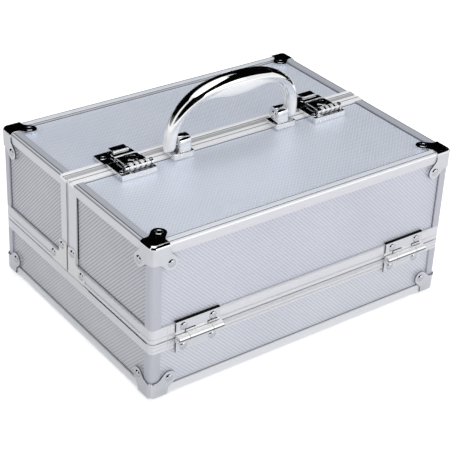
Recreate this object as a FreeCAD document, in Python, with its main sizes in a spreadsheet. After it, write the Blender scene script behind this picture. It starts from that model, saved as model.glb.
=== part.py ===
import FreeCAD, Part
import math
import os
import Sketcher

# A makeup train case: an aluminium-framed box whose top is split into a front and a back lid.
# Each lid swings out on two butterfly hinges and carries two trays on a parallel-arm linkage.
# Frame: +X to the right, +Y to the back, +Z up, origin in the middle of the footprint.
# Everything below is in millimetres and degrees.

DIMENSIONS = {
    # The whole case, measured over the corner caps, without the handle and the hinge knuckles.
    "case_width": 260,
    "case_depth": 200,
    "case_height": 122,
    "parting_height": 46,
    "split_offset": 7,
    "body_gap": 0.6,
    # Layers of a wall, from the outside in.
    "cap_thick": 1.0,
    "rail_thick": 1.5,
    "panel_thick": 3.7,
    "liner_thick": 0.8,
    # Extruded rails.
    "rail_width": 7.8,
    "rail_return": 6,
    "lid_band": 11,
    "base_band": 7.6,
    "split_width": 8.5,
    "front_upright": 11.5,
    "back_upright": 8.5,
    "post_round": 3.5,
    "nose_round": 2.0,
    "split_round": 2.6,
    "rail_edge": 1.0,
    "mitre_reach": 18,
    # Pressed corner caps.
    "cap_side": 14.5,
    "cap_rivet": 15.4,
    "cap_lobe": 5.4,
    "cap_notch": 4,
    "cap_dimple": 2.2,
    # Rivet heads.
    "rivet_radius": 2.3,
    "rivet_high": 0.9,
    # L-plates at the lower inner corners of the lids.
    "plate_margin": 0.8,
    "plate_long": 23,
    "plate_wide": 11,
    "plate_round": 3,
    "plate_rivet_far": 19,
    "plate_rivet_near": 6.8,
    # Butterfly hinges.
    "hinge_place": 92,
    "hinge_wide": 36,
    "hinge_leaf": 11.3,
    "hinge_thick": 1.0,
    "hinge_plate_start": 2.7,
    "hinge_tab_start": 0.6,
    "knuckle_wide": 19,
    "knuckle_radius": 3,
    "knuckle_gap": 0.4,
    "hinge_pin_radius": 1.4,
    "hinge_head_radius": 2.1,
    "hinge_head_thick": 0.8,
    "hinge_rivet_spread": 11.8,
    "hinge_rivet_rise": 8.0,
    "running_fit": 0.06,
    # Latches on the split.
    "latch_place": 84.5,
    "latch_offset": 1,
    "latch_wide": 28.5,
    "latch_front": 14,
    "latch_deck": 1.8,
    "latch_rim": 3.2,
    "barrel_back": 6,
    "barrel_rise": 4.8,
    "barrel_radius": 2.7,
    "latch_pin_radius": 1.3,
    "lever_left": 6,
    "lever_right": 11.5,
    "left_lug": 3,
    "lever_thick": 2.6,
    "lever_lift": 0.5,
    "lever_overhang": 1.4,
    "lock_radius": 3.6,
    "lock_shift": 4,
    "lock_back": 4.5,
    "lock_proud": 0.9,
    "lock_flange": 4.3,
    "key_slot": 1.0,
    "key_slot_long": 5.0,
    "key_slot_deep": 1.8,
    "keeper_back": 24,
    "keeper_block_left": 3.5,
    "keeper_block_right": 9.5,
    "keeper_block_high": 4.4,
    "keeper_block_front": 15,
    "keeper_block_back": 22,
    # Carrying handle.
    "handle_offset": 3,
    "handle_back": -1,
    "handle_half_span": 58,
    "handle_rise": 46.5,
    "handle_pivot_rise": 8.6,
    "handle_lean": 6,
    "handle_leg_thick": 8.6,
    "handle_leg_deep": 10,
    "handle_grip_thick": 17.5,
    "handle_grip_deep": 15,
    "handle_pin_radius": 2,
    "bracket_inner": 38.5,
    "bracket_foot": 2.6,
    "bracket_deep": 12,
    "lug_wide": 10,
    "lug_high": 14.5,
    "lug_round": 5,
    # Trays and the arms that keep them level.
    "crank_offset": 20.5,
    "tier_pitch": 20,
    "tray_pivot_rise": 10,
    "tray_high": 17,
    "tray_wall": 1.6,
    "tray_end_gap": 5,
    "tray_outer_gap": 5,
    "tray_inner_gap": 3,
    "tray_round": 6,
    "arm_shift": 24,
    "arm_drop": 4,
    "arm_wide": 9,
    "arm_thick": 1.5,
    "arm_clear": 1.5,
    "arm_pin_radius": 2,
    "arm_pin_head": 3.6,
    "arm_head_thick": 0.9,
    "spacer_radius": 3.6,
    "pin_gap": 0.35,
}

doc = FreeCAD.newDocument("TrainCase")
sheet = doc.addObject("Spreadsheet::Sheet", "Dims")
for row, (alias, number) in enumerate(DIMENSIONS.items(), 1):
    sheet.set(f"A{row}", alias)
    sheet.set(f"B{row}", str(number))
    sheet.setAlias(f"B{row}", alias)
doc.recompute()

nodes = []

# Planes of the layers, written as expressions on the sheet. Each is half a width, or a height.
RAIL_X = "(Dims.case_width / 2 - Dims.cap_thick)"
PANEL_X = f"({RAIL_X} - Dims.rail_thick)"
CORE_X = f"({PANEL_X} - Dims.panel_thick)"
LINER_X = f"({CORE_X} - Dims.liner_thick)"
RAIL_Y = "(Dims.case_depth / 2 - Dims.cap_thick)"
PANEL_Y = f"({RAIL_Y} - Dims.rail_thick)"
CORE_Y = f"({PANEL_Y} - Dims.panel_thick)"
LINER_Y = f"({CORE_Y} - Dims.liner_thick)"
RAIL_LOW = "Dims.cap_thick"
PANEL_LOW = f"({RAIL_LOW} + Dims.rail_thick)"
CORE_LOW = f"({PANEL_LOW} + Dims.panel_thick)"
LINER_LOW = f"({CORE_LOW} + Dims.liner_thick)"
RAIL_TOP = "(Dims.case_height - Dims.cap_thick)"
PANEL_TOP = f"({RAIL_TOP} - Dims.rail_thick)"
CORE_TOP = f"({PANEL_TOP} - Dims.panel_thick)"
LINER_TOP = f"({CORE_TOP} - Dims.liner_thick)"
BASE_TOP = "(Dims.parting_height - Dims.body_gap / 2)"
LID_LOW = "(Dims.parting_height + Dims.body_gap / 2)"
PANEL_BASE_TOP = f"({BASE_TOP} - Dims.rail_thick)"
PANEL_LID_LOW = f"({LID_LOW} + Dims.rail_thick)"

# The hinge axis stands off the rail by the knuckle's radius and a gap.
HINGE_Y = f"({RAIL_Y} + Dims.knuckle_radius + Dims.knuckle_gap)"


def value(text):
    """The number that an expression gives."""
    return float(sheet.evalExpression(text))


def minus(text):
    """The same expression with its sign turned."""
    return f"-({text})"


def keep(piece, label):
    """Names a finished sub-part and lists it for export."""
    piece.Label = label
    nodes.append(piece)
    return piece


def gather(label, pieces):
    """Several separate solids that share one node."""
    group = doc.addObject("Part::Compound", label + "_group")
    group.Links = pieces
    return keep(group, label)


MIRROR_NORMALS = {"across_x": (1, 0, 0), "across_y": (0, 1, 0), "across_z": (0, 0, 1)}


def mirror(piece, across):
    """A mirrored twin; left to right, front to back, or bottom to top of the case."""
    twin = doc.addObject("Part::Mirroring", f"{piece.Name}_{across}")
    twin.Source = piece
    twin.Normal = MIRROR_NORMALS[across]
    if across == "across_z":
        twin.setExpression("Base.z", "Dims.case_height / 2")
    return twin


def both_ends(piece):
    """A piece and its twin at the other end of the case."""
    return [piece, mirror(piece, "across_x")]


def block(name, x, y, z):
    """A plate between two expressions along each axis."""
    plate = doc.addObject("Part::Box", name)
    for axis, size, (low, high) in (("x", "Length", x), ("y", "Width", y), ("z", "Height", z)):
        plate.setExpression(size, f"({high}) - ({low})")
        plate.setExpression(f"Placement.Base.{axis}", low)
    return plate


HEAD_SIDES = 12


def rod(name, radius, x, y, z):
    """A round rod along X from one expression to another, centred at y and z."""
    bar = doc.addObject("Part::Cylinder", name)
    bar.setExpression("Radius", radius)
    return lay_along_x(bar, x, y, z)


def collar(name, radius, x, y, z):
    """A many-sided head or spacer along X, placed like a rod."""
    bar = doc.addObject("Part::Prism", name)
    bar.Polygon = HEAD_SIDES
    bar.setExpression("Circumradius", radius)
    return lay_along_x(bar, x, y, z)


def lay_along_x(bar, x, y, z):
    """Lays an upright bar along X between two expressions."""
    low, high = x
    bar.setExpression("Height", f"({high}) - ({low})")
    bar.Placement.Rotation = FreeCAD.Rotation(FreeCAD.Vector(0, 1, 0), 90)
    bar.setExpression("Placement.Base.x", low)
    bar.setExpression("Placement.Base.y", y)
    bar.setExpression("Placement.Base.z", z)
    return bar


def fuse(name, pieces):
    """Pieces welded into one solid."""
    joined = doc.addObject("Part::MultiFuse", name)
    joined.Shapes = pieces
    joined.Refine = True
    return joined


def cut(name, base, tool):
    """A piece with another one's space taken out of it."""
    rest = doc.addObject("Part::Cut", name)
    rest.Base = base
    rest.Tool = tool
    rest.Refine = True
    return rest


def new_body(name):
    return doc.addObject("PartDesign::Body", name)


def pin_point(sketch, geometry, end, u, v):
    """Holds a sketch point at two expressions, measured from the sketch's origin."""
    for kind, axis, text in (("DistanceX", -2, u), ("DistanceY", -1, v)):
        if text == "0":
            sketch.addConstraint(Sketcher.Constraint("PointOnObject", geometry, end, axis))
        else:
            rule = Sketcher.Constraint(kind, -1, 1, geometry, end, value(text))
            sketch.setExpression(f"Constraints[{sketch.addConstraint(rule)}]", text)


def new_sketch(body, name, plane, offset="0"):
    """A sketch on one of its body's origin planes, moved along the plane's normal."""
    sketch = body.newObject("Sketcher::SketchObject", f"{body.Name}_{name}")
    support = next(part for part in body.Origin.OriginFeatures if part.Role == plane)
    sketch.AttachmentSupport = [(support, "")]
    sketch.MapMode = "FlatFace"
    if offset != "0":
        sketch.setExpression("AttachmentOffset.Base.z", offset)
    return sketch


def draw_outline(sketch, corners):
    """A closed straight-sided outline; each corner is a pair of expressions."""
    points = [FreeCAD.Vector(value(u), value(v), 0) for u, v in corners]
    first = sketch.GeometryCount
    for start, end in zip(points, points[1:] + points[:1]):
        sketch.addGeometry(Part.LineSegment(start, end))
    for index, (u, v) in enumerate(corners):
        before = first + (index - 1) % len(corners)
        sketch.addConstraint(Sketcher.Constraint("Coincident", before, 2, first + index, 1))
        pin_point(sketch, first + index, 1, u, v)


def draw_circle(sketch, u, v, radius):
    """A circle whose centre and radius are expressions."""
    centre = FreeCAD.Vector(value(u), value(v), 0)
    circle = sketch.addGeometry(Part.Circle(centre, FreeCAD.Vector(0, 0, 1), value(radius)))
    pin_point(sketch, circle, 3, u, v)
    rule = Sketcher.Constraint("Radius", circle, value(radius))
    sketch.setExpression(f"Constraints[{sketch.addConstraint(rule)}]", radius)


def pad(body, sketch, length, symmetric=False):
    """Raises a sketch along its normal, or to both sides of its plane."""
    raised = body.newObject("PartDesign::Pad", f"{sketch.Name}_pad")
    raised.Profile = sketch
    raised.SideType = "Symmetric" if symmetric else "One side"
    raised.setExpression("Length", length)
    doc.recompute()
    return raised


def pocket(body, sketch, length=None, reverse=False):
    """Cuts a sketch right through the body both ways, or to a depth on one side of its plane."""
    before = body.Tip.Shape.Volume
    hollow = body.newObject("PartDesign::Pocket", f"{sketch.Name}_pocket")
    hollow.Profile = sketch
    if length is None:
        hollow.Type = "ThroughAll"
        hollow.SideType = "Symmetric"
    else:
        hollow.Type = "Length"
        hollow.setExpression("Length", length)
        hollow.Reversed = reverse
    doc.recompute()
    if hollow.Shape.Volume >= before:
        raise RuntimeError(f"{hollow.Name} removes nothing")
    return hollow


def round_edges(body, name, radius, chosen):
    """Rounds the edges of a body that a test picks out."""
    base = body.Tip
    picked = [f"Edge{i}" for i, edge in enumerate(base.Shape.Edges, 1) if chosen(edge)]
    fillet = body.newObject("PartDesign::Fillet", f"{body.Name}_{name}")
    fillet.Base = (base, picked)
    fillet.setExpression("Radius", radius)
    doc.recompute()
    return fillet


def on_line(edge, **places):
    """True where every point of an edge has the given coordinates."""
    near = 1e-4
    points = [vertex.Point for vertex in edge.Vertexes]
    return all(abs(getattr(p, axis) - place) < near for p in points for axis, place in places.items())


def runs_along(edge, axis):
    """True for a straight edge in the direction of an axis."""
    if edge.Curve.TypeId != "Part::GeomLine":
        return False
    return abs(getattr(edge.Curve.Direction, axis)) > 1 - 1e-6


def rivet(name, x, y, z, turn_axis, turn):
    """A low rivet head that sits on a face at x, y, z and points along the turned Z axis."""
    head = doc.addObject("Part::Prism", name)
    head.Polygon = HEAD_SIDES
    head.setExpression("Circumradius", "Dims.rivet_radius")
    head.setExpression("Height", "Dims.rivet_high")
    head.Placement.Rotation = FreeCAD.Rotation(FreeCAD.Vector(*turn_axis), turn)
    for axis, place in (("x", x), ("y", y), ("z", z)):
        head.setExpression(f"Placement.Base.{axis}", place)
    return head


FACING_LEFT = ((0, 1, 0), -90)
FACING_FRONT = ((1, 0, 0), 90)
FACING_UP = ((1, 0, 0), 0)


# Rails. Their mitred ends stop short of a capped corner by its rounding.

CAPPED_X = f"({RAIL_X} - Dims.post_round)"
CAPPED_Y = f"({RAIL_Y} - Dims.post_round)"


def mitre(u_end, v_end, u_way, v_way):
    """The corner triangle that a 45 degree mitre removes; the way is +1 or -1 into the case."""
    reach = "Dims.mitre_reach"
    return [
        (u_end, v_end),
        (u_end, f"{v_end} + {v_way} * {reach}"),
        (f"{u_end} + {u_way} * {reach}", f"{v_end} + {v_way} * {reach}"),
    ]


def angle_section(u_corner, v_corner, u_way, v_way, u_leg, v_leg):
    """An L-section from its outer corner, with one leg along each axis."""
    skin = "Dims.rail_thick"
    u_far, v_far = f"{u_corner} + {u_way} * {u_leg}", f"{v_corner} + {v_way} * {v_leg}"
    u_skin, v_skin = f"{u_corner} + {u_way} * {skin}", f"{v_corner} + {v_way} * {skin}"
    return [(u_corner, v_corner), (u_far, v_corner), (u_far, v_skin),
            (u_skin, v_skin), (u_skin, v_far), (u_corner, v_far)]


def angle_rail(name, plane, section, span, nose, radius, mitres):
    """An extruded angle in its place: section on a plane, span along its normal, mitred ends.

    span is a pair of expressions along the plane's normal, nose the edge that is rounded to radius;
    mitres lists (plane, outlines).
    """
    body = new_body(name)
    start, end = span
    sketch = new_sketch(body, "section", plane, start)
    draw_outline(sketch, section)
    pad(body, sketch, f"({end}) - ({start})")
    round_edges(body, "nose", radius, lambda edge: on_line(edge, **nose))
    for index, (cut_plane, outlines) in enumerate(mitres):
        trim = new_sketch(body, f"mitre{index}", cut_plane)
        for outline in outlines:
            draw_outline(trim, outline)
        pocket(body, trim)
    return body


def long_edge_rail(name, z_corner, z_way):
    """The front rail along the top or bottom of the case, mitred to the end rails and posts."""
    y_corner = minus(RAIL_Y)
    section = angle_section(y_corner, z_corner, "1", z_way, "Dims.rail_width", "Dims.rail_width")
    flat_cuts = [mitre(minus(RAIL_X), y_corner, "1", "1"), mitre(RAIL_X, y_corner, "-1", "1")]
    face_cuts = [mitre(minus(RAIL_X), z_corner, "1", z_way), mitre(RAIL_X, z_corner, "-1", z_way)]
    nose = {"y": value(y_corner), "z": value(z_corner)}
    return angle_rail(name, "YZ_Plane", section, (minus(CAPPED_X), CAPPED_X), nose, "Dims.nose_round",
                      [("XY_Plane", flat_cuts), ("XZ_Plane", face_cuts)])


def end_edge_rail(name, z_corner, z_way, y_far, far_mitre):
    """The left end's rail along the top or bottom, from the front corner to y_far."""
    x_corner, y_corner = minus(RAIL_X), minus(RAIL_Y)
    section = angle_section(x_corner, z_corner, "1", z_way, "Dims.rail_width", "Dims.rail_width")
    reach = "Dims.mitre_reach"
    flat_cuts = [[(x_corner, y_corner), (f"{x_corner} + {reach}", y_corner),
                  (f"{x_corner} + {reach}", f"{y_corner} + {reach}")]]
    face_cuts = [mitre(y_corner, z_corner, "1", z_way)]
    far_end = minus(y_far)
    if far_mitre:
        far_end = minus(CAPPED_Y)
        flat_cuts.append([(u, minus(v)) for u, v in flat_cuts[0]])
        face_cuts.append(mitre(y_far, z_corner, "-1", z_way))
    nose = {"x": value(x_corner), "z": value(z_corner)}
    return angle_rail(name, "XZ_Plane", section, (far_end, CAPPED_Y), nose, "Dims.nose_round",
                      [("XY_Plane", flat_cuts), ("YZ_Plane", face_cuts)])


def corner_post(name, z_square, z_mitred, z_way):
    """The front left upright angle, square at one end and mitred to the edge rails at the other."""
    x_corner, y_corner = minus(RAIL_X), minus(RAIL_Y)
    section = angle_section(x_corner, y_corner, "1", "1", "Dims.rail_width", "Dims.rail_width")
    reach = "Dims.mitre_reach"
    far_z = f"{z_mitred} + {z_way} * {reach}"
    side_cut = [(x_corner, z_mitred), (f"{x_corner} + {reach}", z_mitred), (f"{x_corner} + {reach}", far_z)]
    front_cut = [(y_corner, z_mitred), (f"{y_corner} + {reach}", z_mitred), (f"{y_corner} + {reach}", far_z)]
    capped_z = f"({z_mitred} + {z_way} * Dims.post_round)"
    span = (capped_z, z_square) if z_way == "1" else (z_square, capped_z)
    nose = {"x": value(x_corner), "y": value(y_corner)}
    return angle_rail(name, "XY_Plane", section, span, nose, "Dims.post_round",
                      [("XZ_Plane", [side_cut]), ("YZ_Plane", [front_cut])])


def rectangle(x, y):
    """Corners of a rectangle between two pairs of expressions."""
    return [(x[0], y[0]), (x[1], y[0]), (x[1], y[1]), (x[0], y[1])]


def bent_rail(name, y_far, flange_z, free_z, round_back):
    """A rail bent round the case at the parting line: a skirt outside and a flange over the edge.

    flange_z is the height of the parting side and free_z the skirt's other edge. The rail runs from
    the front wall to y_far; a closed one is rounded at the back as well.
    """
    body = new_body(name)
    flange_up = value(flange_z) > value(free_z)
    low, high = (free_z, flange_z) if flange_up else (flange_z, free_z)
    skin, fold = "Dims.rail_thick", "Dims.rail_return"
    block_sketch = new_sketch(body, "block", "XY_Plane", low)
    draw_outline(block_sketch, rectangle((minus(RAIL_X), RAIL_X), (minus(RAIL_Y), y_far)))
    pad(body, block_sketch, f"({high}) - ({low})")
    front, back = -value(RAIL_Y), value(RAIL_Y)
    ends = (front, back) if round_back else (front,)

    def is_corner(edge):
        return runs_along(edge, "z") and any(on_line(edge, y=end) for end in ends)

    round_edges(body, "corners", "Dims.post_round", is_corner)
    back_skin = f"{y_far} - {skin}" if round_back else f"{y_far} + {skin}"
    back_fold = f"{y_far} - {fold}" if round_back else f"{y_far} + {skin}"
    skirt = new_sketch(body, "skirt", "XY_Plane", f"{low} + {skin}" if not flange_up else f"{high} - {skin}")
    draw_outline(skirt, rectangle((f"-{RAIL_X} + {skin}", f"{RAIL_X} - {skin}"),
                                  (f"-{RAIL_Y} + {skin}", back_skin)))
    pocket(body, skirt, f"({high}) - ({low})", reverse=not flange_up)
    opening = new_sketch(body, "opening", "XY_Plane")
    draw_outline(opening, rectangle((f"-{RAIL_X} + {fold}", f"{RAIL_X} - {fold}"),
                                    (f"-{RAIL_Y} + {fold}", back_fold)))
    pocket(body, opening)
    return body


# Panels and liner of the base.

def build_base_box():
    span_x, span_y = (minus(PANEL_X), PANEL_X), (minus(PANEL_Y), PANEL_Y)
    wall_z = (CORE_LOW, PANEL_BASE_TOP)
    keep(block("floor_panel", span_x, span_y, (PANEL_LOW, CORE_LOW)), "base_floor_panel")
    front = keep(block("front_panel", span_x, (minus(PANEL_Y), minus(CORE_Y)), wall_z), "base_front_panel")
    keep(mirror(front, "across_y"), "base_back_panel")
    end = block("end_panel", (minus(PANEL_X), minus(CORE_X)), (minus(CORE_Y), CORE_Y), wall_z)
    gather("base_end_panels", both_ends(end))
    lining = block("lining", (minus(CORE_X), CORE_X), (minus(CORE_Y), CORE_Y), wall_z)
    inside = block("lining_inside", (minus(LINER_X), LINER_X), (minus(LINER_Y), LINER_Y),
                   (LINER_LOW, f"{BASE_TOP} + Dims.rail_width"))
    keep(cut("lining_tray", lining, inside), "base_liner")


def build_base_rails():
    keep(bent_rail("base_top", RAIL_Y, BASE_TOP, f"({BASE_TOP} - Dims.base_band)", True), "base_top_rail")
    front = long_edge_rail("base_front_rail", RAIL_LOW, "1")
    end = end_edge_rail("base_end_rail", RAIL_LOW, "1", RAIL_Y, True)
    gather("base_bottom_rails", [front, mirror(front, "across_y")] + both_ends(end))
    post = corner_post("base_post", f"({BASE_TOP} - Dims.base_band)", RAIL_LOW, "1")
    pair = doc.addObject("Part::Compound", "base_post_pair")
    pair.Links = both_ends(post)
    gather("base_corner_posts", [pair, mirror(pair, "across_y")])


# Corner caps.

CAP_SHOULDER = "(Dims.cap_side - Dims.cap_lobe * sqrt(2))"


def lobe(sketch, u_way, v_way):
    """The outline of one side of a cap: a square with a round-ended tongue along its diagonal."""
    side, centre, radius = "Dims.cap_side", "Dims.cap_rivet", "Dims.cap_lobe"
    shoulder = CAP_SHOULDER
    tip_low = f"{centre} - {radius} / sqrt(2)"
    tip_high = f"{centre} + {radius} / sqrt(2)"
    corners = [("0", "0"), (side, "0"), (side, shoulder), (tip_high, tip_low),
               (tip_low, tip_high), (shoulder, side), ("0", side)]
    draw_outline(sketch, [(signed(u_way, u), signed(v_way, v)) for u, v in corners])


def signed(way, text):
    """An expression with its sign set by a way of +1 or -1."""
    if text == "0":
        return text
    return f"{way} * ({text})"


def follows_walls(edge, depth):
    """True where both ends of an edge touch a cap's side walls."""
    near = 1e-4
    return all(min(abs(v.Point.x - depth), abs(v.Point.y - depth)) < near for v in edge.Vertexes)


CAP_FACES = {"XY_Plane": "z", "XZ_Plane": "y", "YZ_Plane": "x"}


def corner_cap():
    """The pressed cap of the bottom front left corner: three tongued sides and a rounded corner."""
    body = new_body("corner_cap")
    for plane, axis in CAP_FACES.items():
        turned = axis == "y"
        side = new_sketch(body, f"side_{axis}", plane)
        lobe(side, "1", "1")
        pad(body, side, "Dims.cap_thick").Reversed = turned
        tip = new_sketch(body, f"tip_{axis}", plane)
        draw_circle(tip, "Dims.cap_rivet", "Dims.cap_rivet", "Dims.cap_lobe")
        pad(body, tip, "Dims.cap_thick").Reversed = turned
        dimple = new_sketch(body, f"dimple_{axis}", plane)
        dimple_span = ("Dims.cap_rivet - Dims.cap_dimple", "Dims.cap_rivet + Dims.cap_dimple")
        draw_outline(dimple, rectangle(dimple_span, dimple_span))
        pad(body, dimple, "Dims.cap_thick + Dims.rail_thick").Reversed = turned
        doc.recompute()
    side = value("Dims.cap_side")
    shoulder = value(CAP_SHOULDER)

    def notch_edge(edge):
        corners = [{a: side, b: shoulder} for a in "xyz" for b in "xyz" if a != b]
        return any(on_line(edge, **corner) for corner in corners)

    round_edges(body, "notches", "Dims.cap_notch", notch_edge)
    for name, depth, grow in (("inner", value("Dims.cap_thick"), "0"), ("outer", 0.0, "Dims.cap_thick")):
        round_edges(body, f"{name}_upright", f"Dims.post_round + {grow}",
                    lambda edge: on_line(edge, x=depth, y=depth))
        round_edges(body, f"{name}_edge", f"Dims.nose_round + {grow}",
                    lambda edge: on_line(edge, z=depth) and follows_walls(edge, depth))
    body.setExpression("Placement.Base.x", "-Dims.case_width / 2")
    body.setExpression("Placement.Base.y", "-Dims.case_depth / 2")
    return body


def build_caps():
    front_pair = doc.addObject("Part::Compound", "front_cap_pair")
    front_pair.Links = both_ends(corner_cap())
    back_pair = mirror(front_pair, "across_y")
    gather("base_corner_caps", [front_pair, back_pair])
    keep(mirror(front_pair, "across_z"), "front_lid_corner_caps")
    keep(mirror(back_pair, "across_z"), "back_lid_corner_caps")


# Hinges. They are drawn at the front left and mirrored to the other three places.

def leaf(name, way, knuckle_spans):
    """A hinge leaf: a plate on the rail, tabs, and the knuckles that the tabs are rolled into.

    The lid's leaf is also bent over the upper edge of its rail.
    """
    place, wide = "-Dims.hinge_place", "Dims.hinge_wide"
    plate_x = (f"{place} - {wide} / 2", f"{place} + {wide} / 2")
    plate_y = (f"-{RAIL_Y} - Dims.hinge_thick", minus(RAIL_Y))
    far_z = f"({LID_LOW} + Dims.lid_band)" if way == "1" else "(Dims.parting_height - Dims.hinge_leaf)"
    near_z = f"Dims.parting_height + {way} * Dims.hinge_plate_start"
    low_high = (near_z, far_z) if way == "1" else (far_z, near_z)
    pieces = [block(f"{name}_plate", plate_x, plate_y, low_high)]
    tab_z = (f"Dims.parting_height + {way} * Dims.hinge_tab_start", near_z)
    tab_low_high = tab_z if way == "1" else tab_z[::-1]
    for index, span in enumerate(knuckle_spans):
        pieces.append(block(f"{name}_tab{index}", span, plate_y, tab_low_high))
        pieces.append(rod(f"{name}_knuckle{index}", "Dims.knuckle_radius", span,
                          minus(HINGE_Y), "Dims.parting_height"))
    if way == "1":
        lip_y = (f"-{RAIL_Y} - Dims.hinge_thick", minus(PANEL_Y))
        pieces.append(block(f"{name}_lip", plate_x, lip_y, (far_z, f"{far_z} + Dims.hinge_thick")))
    fit = "Dims.hinge_pin_radius + Dims.running_fit" if way == "1" else "Dims.hinge_pin_radius"
    bore = rod(f"{name}_bore", fit, plate_x, minus(HINGE_Y), "Dims.parting_height")
    return cut(name, fuse(f"{name}_blank", pieces), bore)


def four_hinges(label, piece):
    pair = doc.addObject("Part::Compound", label + "_pair")
    pair.Links = both_ends(piece)
    return pair, mirror(pair, "across_y")


def build_hinges():
    place, half, knuckle = "-Dims.hinge_place", "Dims.hinge_wide / 2", "Dims.knuckle_wide / 2"
    inner = f"{knuckle} - Dims.knuckle_gap / 2"
    outer = f"{knuckle} + Dims.knuckle_gap / 2"
    lid_leaf = leaf("lid_leaf", "1", [(f"{place} - ({inner})", f"{place} + {inner}")])
    base_leaf = leaf("base_leaf", "-1", [(f"{place} - {half}", f"{place} - ({outer})"),
                                         (f"{place} + {outer}", f"{place} + {half}")])
    front, back = four_hinges("lid_leaves", lid_leaf)
    keep(front, "front_lid_hinge_leaves")
    keep(back, "back_lid_hinge_leaves")
    gather("hinge_base_leaves", list(four_hinges("base_leaves", base_leaf)))
    shaft = rod("hinge_shaft", "Dims.hinge_pin_radius", (f"{place} - {half}", f"{place} + {half}"),
                minus(HINGE_Y), "Dims.parting_height")
    ends = {"left": (f"{place} - {half} - Dims.hinge_head_thick", f"{place} - {half}"),
            "right": (f"{place} + {half}", f"{place} + {half} + Dims.hinge_head_thick")}
    heads = [collar(f"hinge_head_{end}", "Dims.hinge_head_radius", span, minus(HINGE_Y), "Dims.parting_height")
             for end, span in ends.items()]
    gather("hinge_pins", list(four_hinges("pins", fuse("hinge_pin", [shaft] + heads))))


def hinge_rivets(name, way):
    """The two rivets of one front left leaf; way is +1 on the lid and -1 on the base."""
    face = f"-{RAIL_Y} - Dims.hinge_thick"
    rise = f"Dims.parting_height + {way} * Dims.hinge_rivet_rise"
    return [rivet(f"{name}_{side}", f"-Dims.hinge_place + ({step}) * Dims.hinge_rivet_spread",
                  face, rise, *FACING_FRONT)
            for side, step in (("left", "-1"), ("right", "1"))]


# The lids. Both are drawn as the front one; the back lid is mirrored to its place.

def settle(piece, lid):
    """A lid's piece where it belongs: the back lid's is turned to the back."""
    return mirror(piece, "across_y") if lid == "back_lid" else piece


def build_lid_box(lid, inner):
    edge = f"{inner} - Dims.rail_thick"
    span_x = (minus(PANEL_X), PANEL_X)
    wall_z = (PANEL_LID_LOW, CORE_TOP)
    roof = block(f"{lid}_roof", span_x, (minus(PANEL_Y), edge), (CORE_TOP, PANEL_TOP))
    keep(settle(roof, lid), f"{lid}_top_panel")
    wall = block(f"{lid}_wall", span_x, (minus(PANEL_Y), minus(CORE_Y)), wall_z)
    keep(settle(wall, lid), f"{lid}_long_panel")
    end = block(f"{lid}_end", (minus(PANEL_X), minus(CORE_X)), (minus(CORE_Y), edge), wall_z)
    gather(f"{lid}_end_panels", [settle(piece, lid) for piece in both_ends(end)])
    lining = block(f"{lid}_lining", (minus(CORE_X), CORE_X), (minus(CORE_Y), edge), wall_z)
    inside = block(f"{lid}_inside", (minus(LINER_X), LINER_X), (minus(LINER_Y), f"{inner} + Dims.rail_width"),
                   (f"{LID_LOW} - Dims.rail_width", LINER_TOP))
    keep(settle(cut(f"{lid}_lining_shell", lining, inside), lid), f"{lid}_liner")


def split_rail(lid, inner):
    """The bull-nosed rail along the split edge of a lid's top, mitred to the end uprights."""
    section = angle_section(inner, RAIL_TOP, "-1", "-1", "Dims.split_width", "Dims.rail_return")
    cuts = [mitre(minus(RAIL_X), RAIL_TOP, "1", "-1"), mitre(RAIL_X, RAIL_TOP, "-1", "-1")]
    nose = {"y": value(inner), "z": value(RAIL_TOP)}
    return angle_rail(f"{lid}_split_rail", "YZ_Plane", section, (minus(RAIL_X), RAIL_X), nose,
                      "Dims.split_round", [("XZ_Plane", cuts)])


UPRIGHT_WIDTHS = {"front_lid": "Dims.front_upright", "back_lid": "Dims.back_upright"}


def split_upright(lid, inner):
    """The upright at the left end of the split edge, mitred to the split rail and the bottom rail.

    The front lid's is wider than the split rail and notched under the end rail.
    """
    corner, width = minus(RAIL_X), UPRIGHT_WIDTHS[lid]
    section = angle_section(corner, inner, "1", "-1", "Dims.rail_return", width)
    reach = "Dims.mitre_reach"
    top_cut = [(corner, RAIL_TOP), (f"{corner} + {reach}", RAIL_TOP),
               (f"{corner} + {reach}", f"{RAIL_TOP} - {reach}")]
    low_cut = [(inner, LID_LOW), (f"{inner} - {reach}", LID_LOW),
               (f"{inner} - {reach}", f"{LID_LOW} + {reach}")]
    end_cuts = [low_cut]
    if value(width) > value("Dims.split_width"):
        end_cuts.append(rectangle((f"{inner} - {reach}", f"{inner} - Dims.split_width"),
                                  (f"{RAIL_TOP} - Dims.rail_width", RAIL_TOP)))
    nose = {"x": value(corner), "y": value(inner)}
    return angle_rail(f"{lid}_upright", "XY_Plane", section, (LID_LOW, RAIL_TOP), nose,
                      "Dims.nose_round", [("XZ_Plane", [top_cut]), ("YZ_Plane", end_cuts)])


def lid_bottom_rail(lid, inner):
    """The rail round a lid's lower edge, open at the split and mitred to the uprights there."""
    rail = bent_rail(f"{lid}_bottom", inner, LID_LOW, f"({LID_LOW} + Dims.lid_band)", False)
    trim = new_sketch(rail, "mitre", "YZ_Plane")
    reach = "Dims.mitre_reach"
    draw_outline(trim, [(inner, LID_LOW), (inner, f"{LID_LOW} + {reach}"),
                        (f"{inner} - {reach}", f"{LID_LOW} + {reach}")])
    pocket(rail, trim)
    return rail


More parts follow.
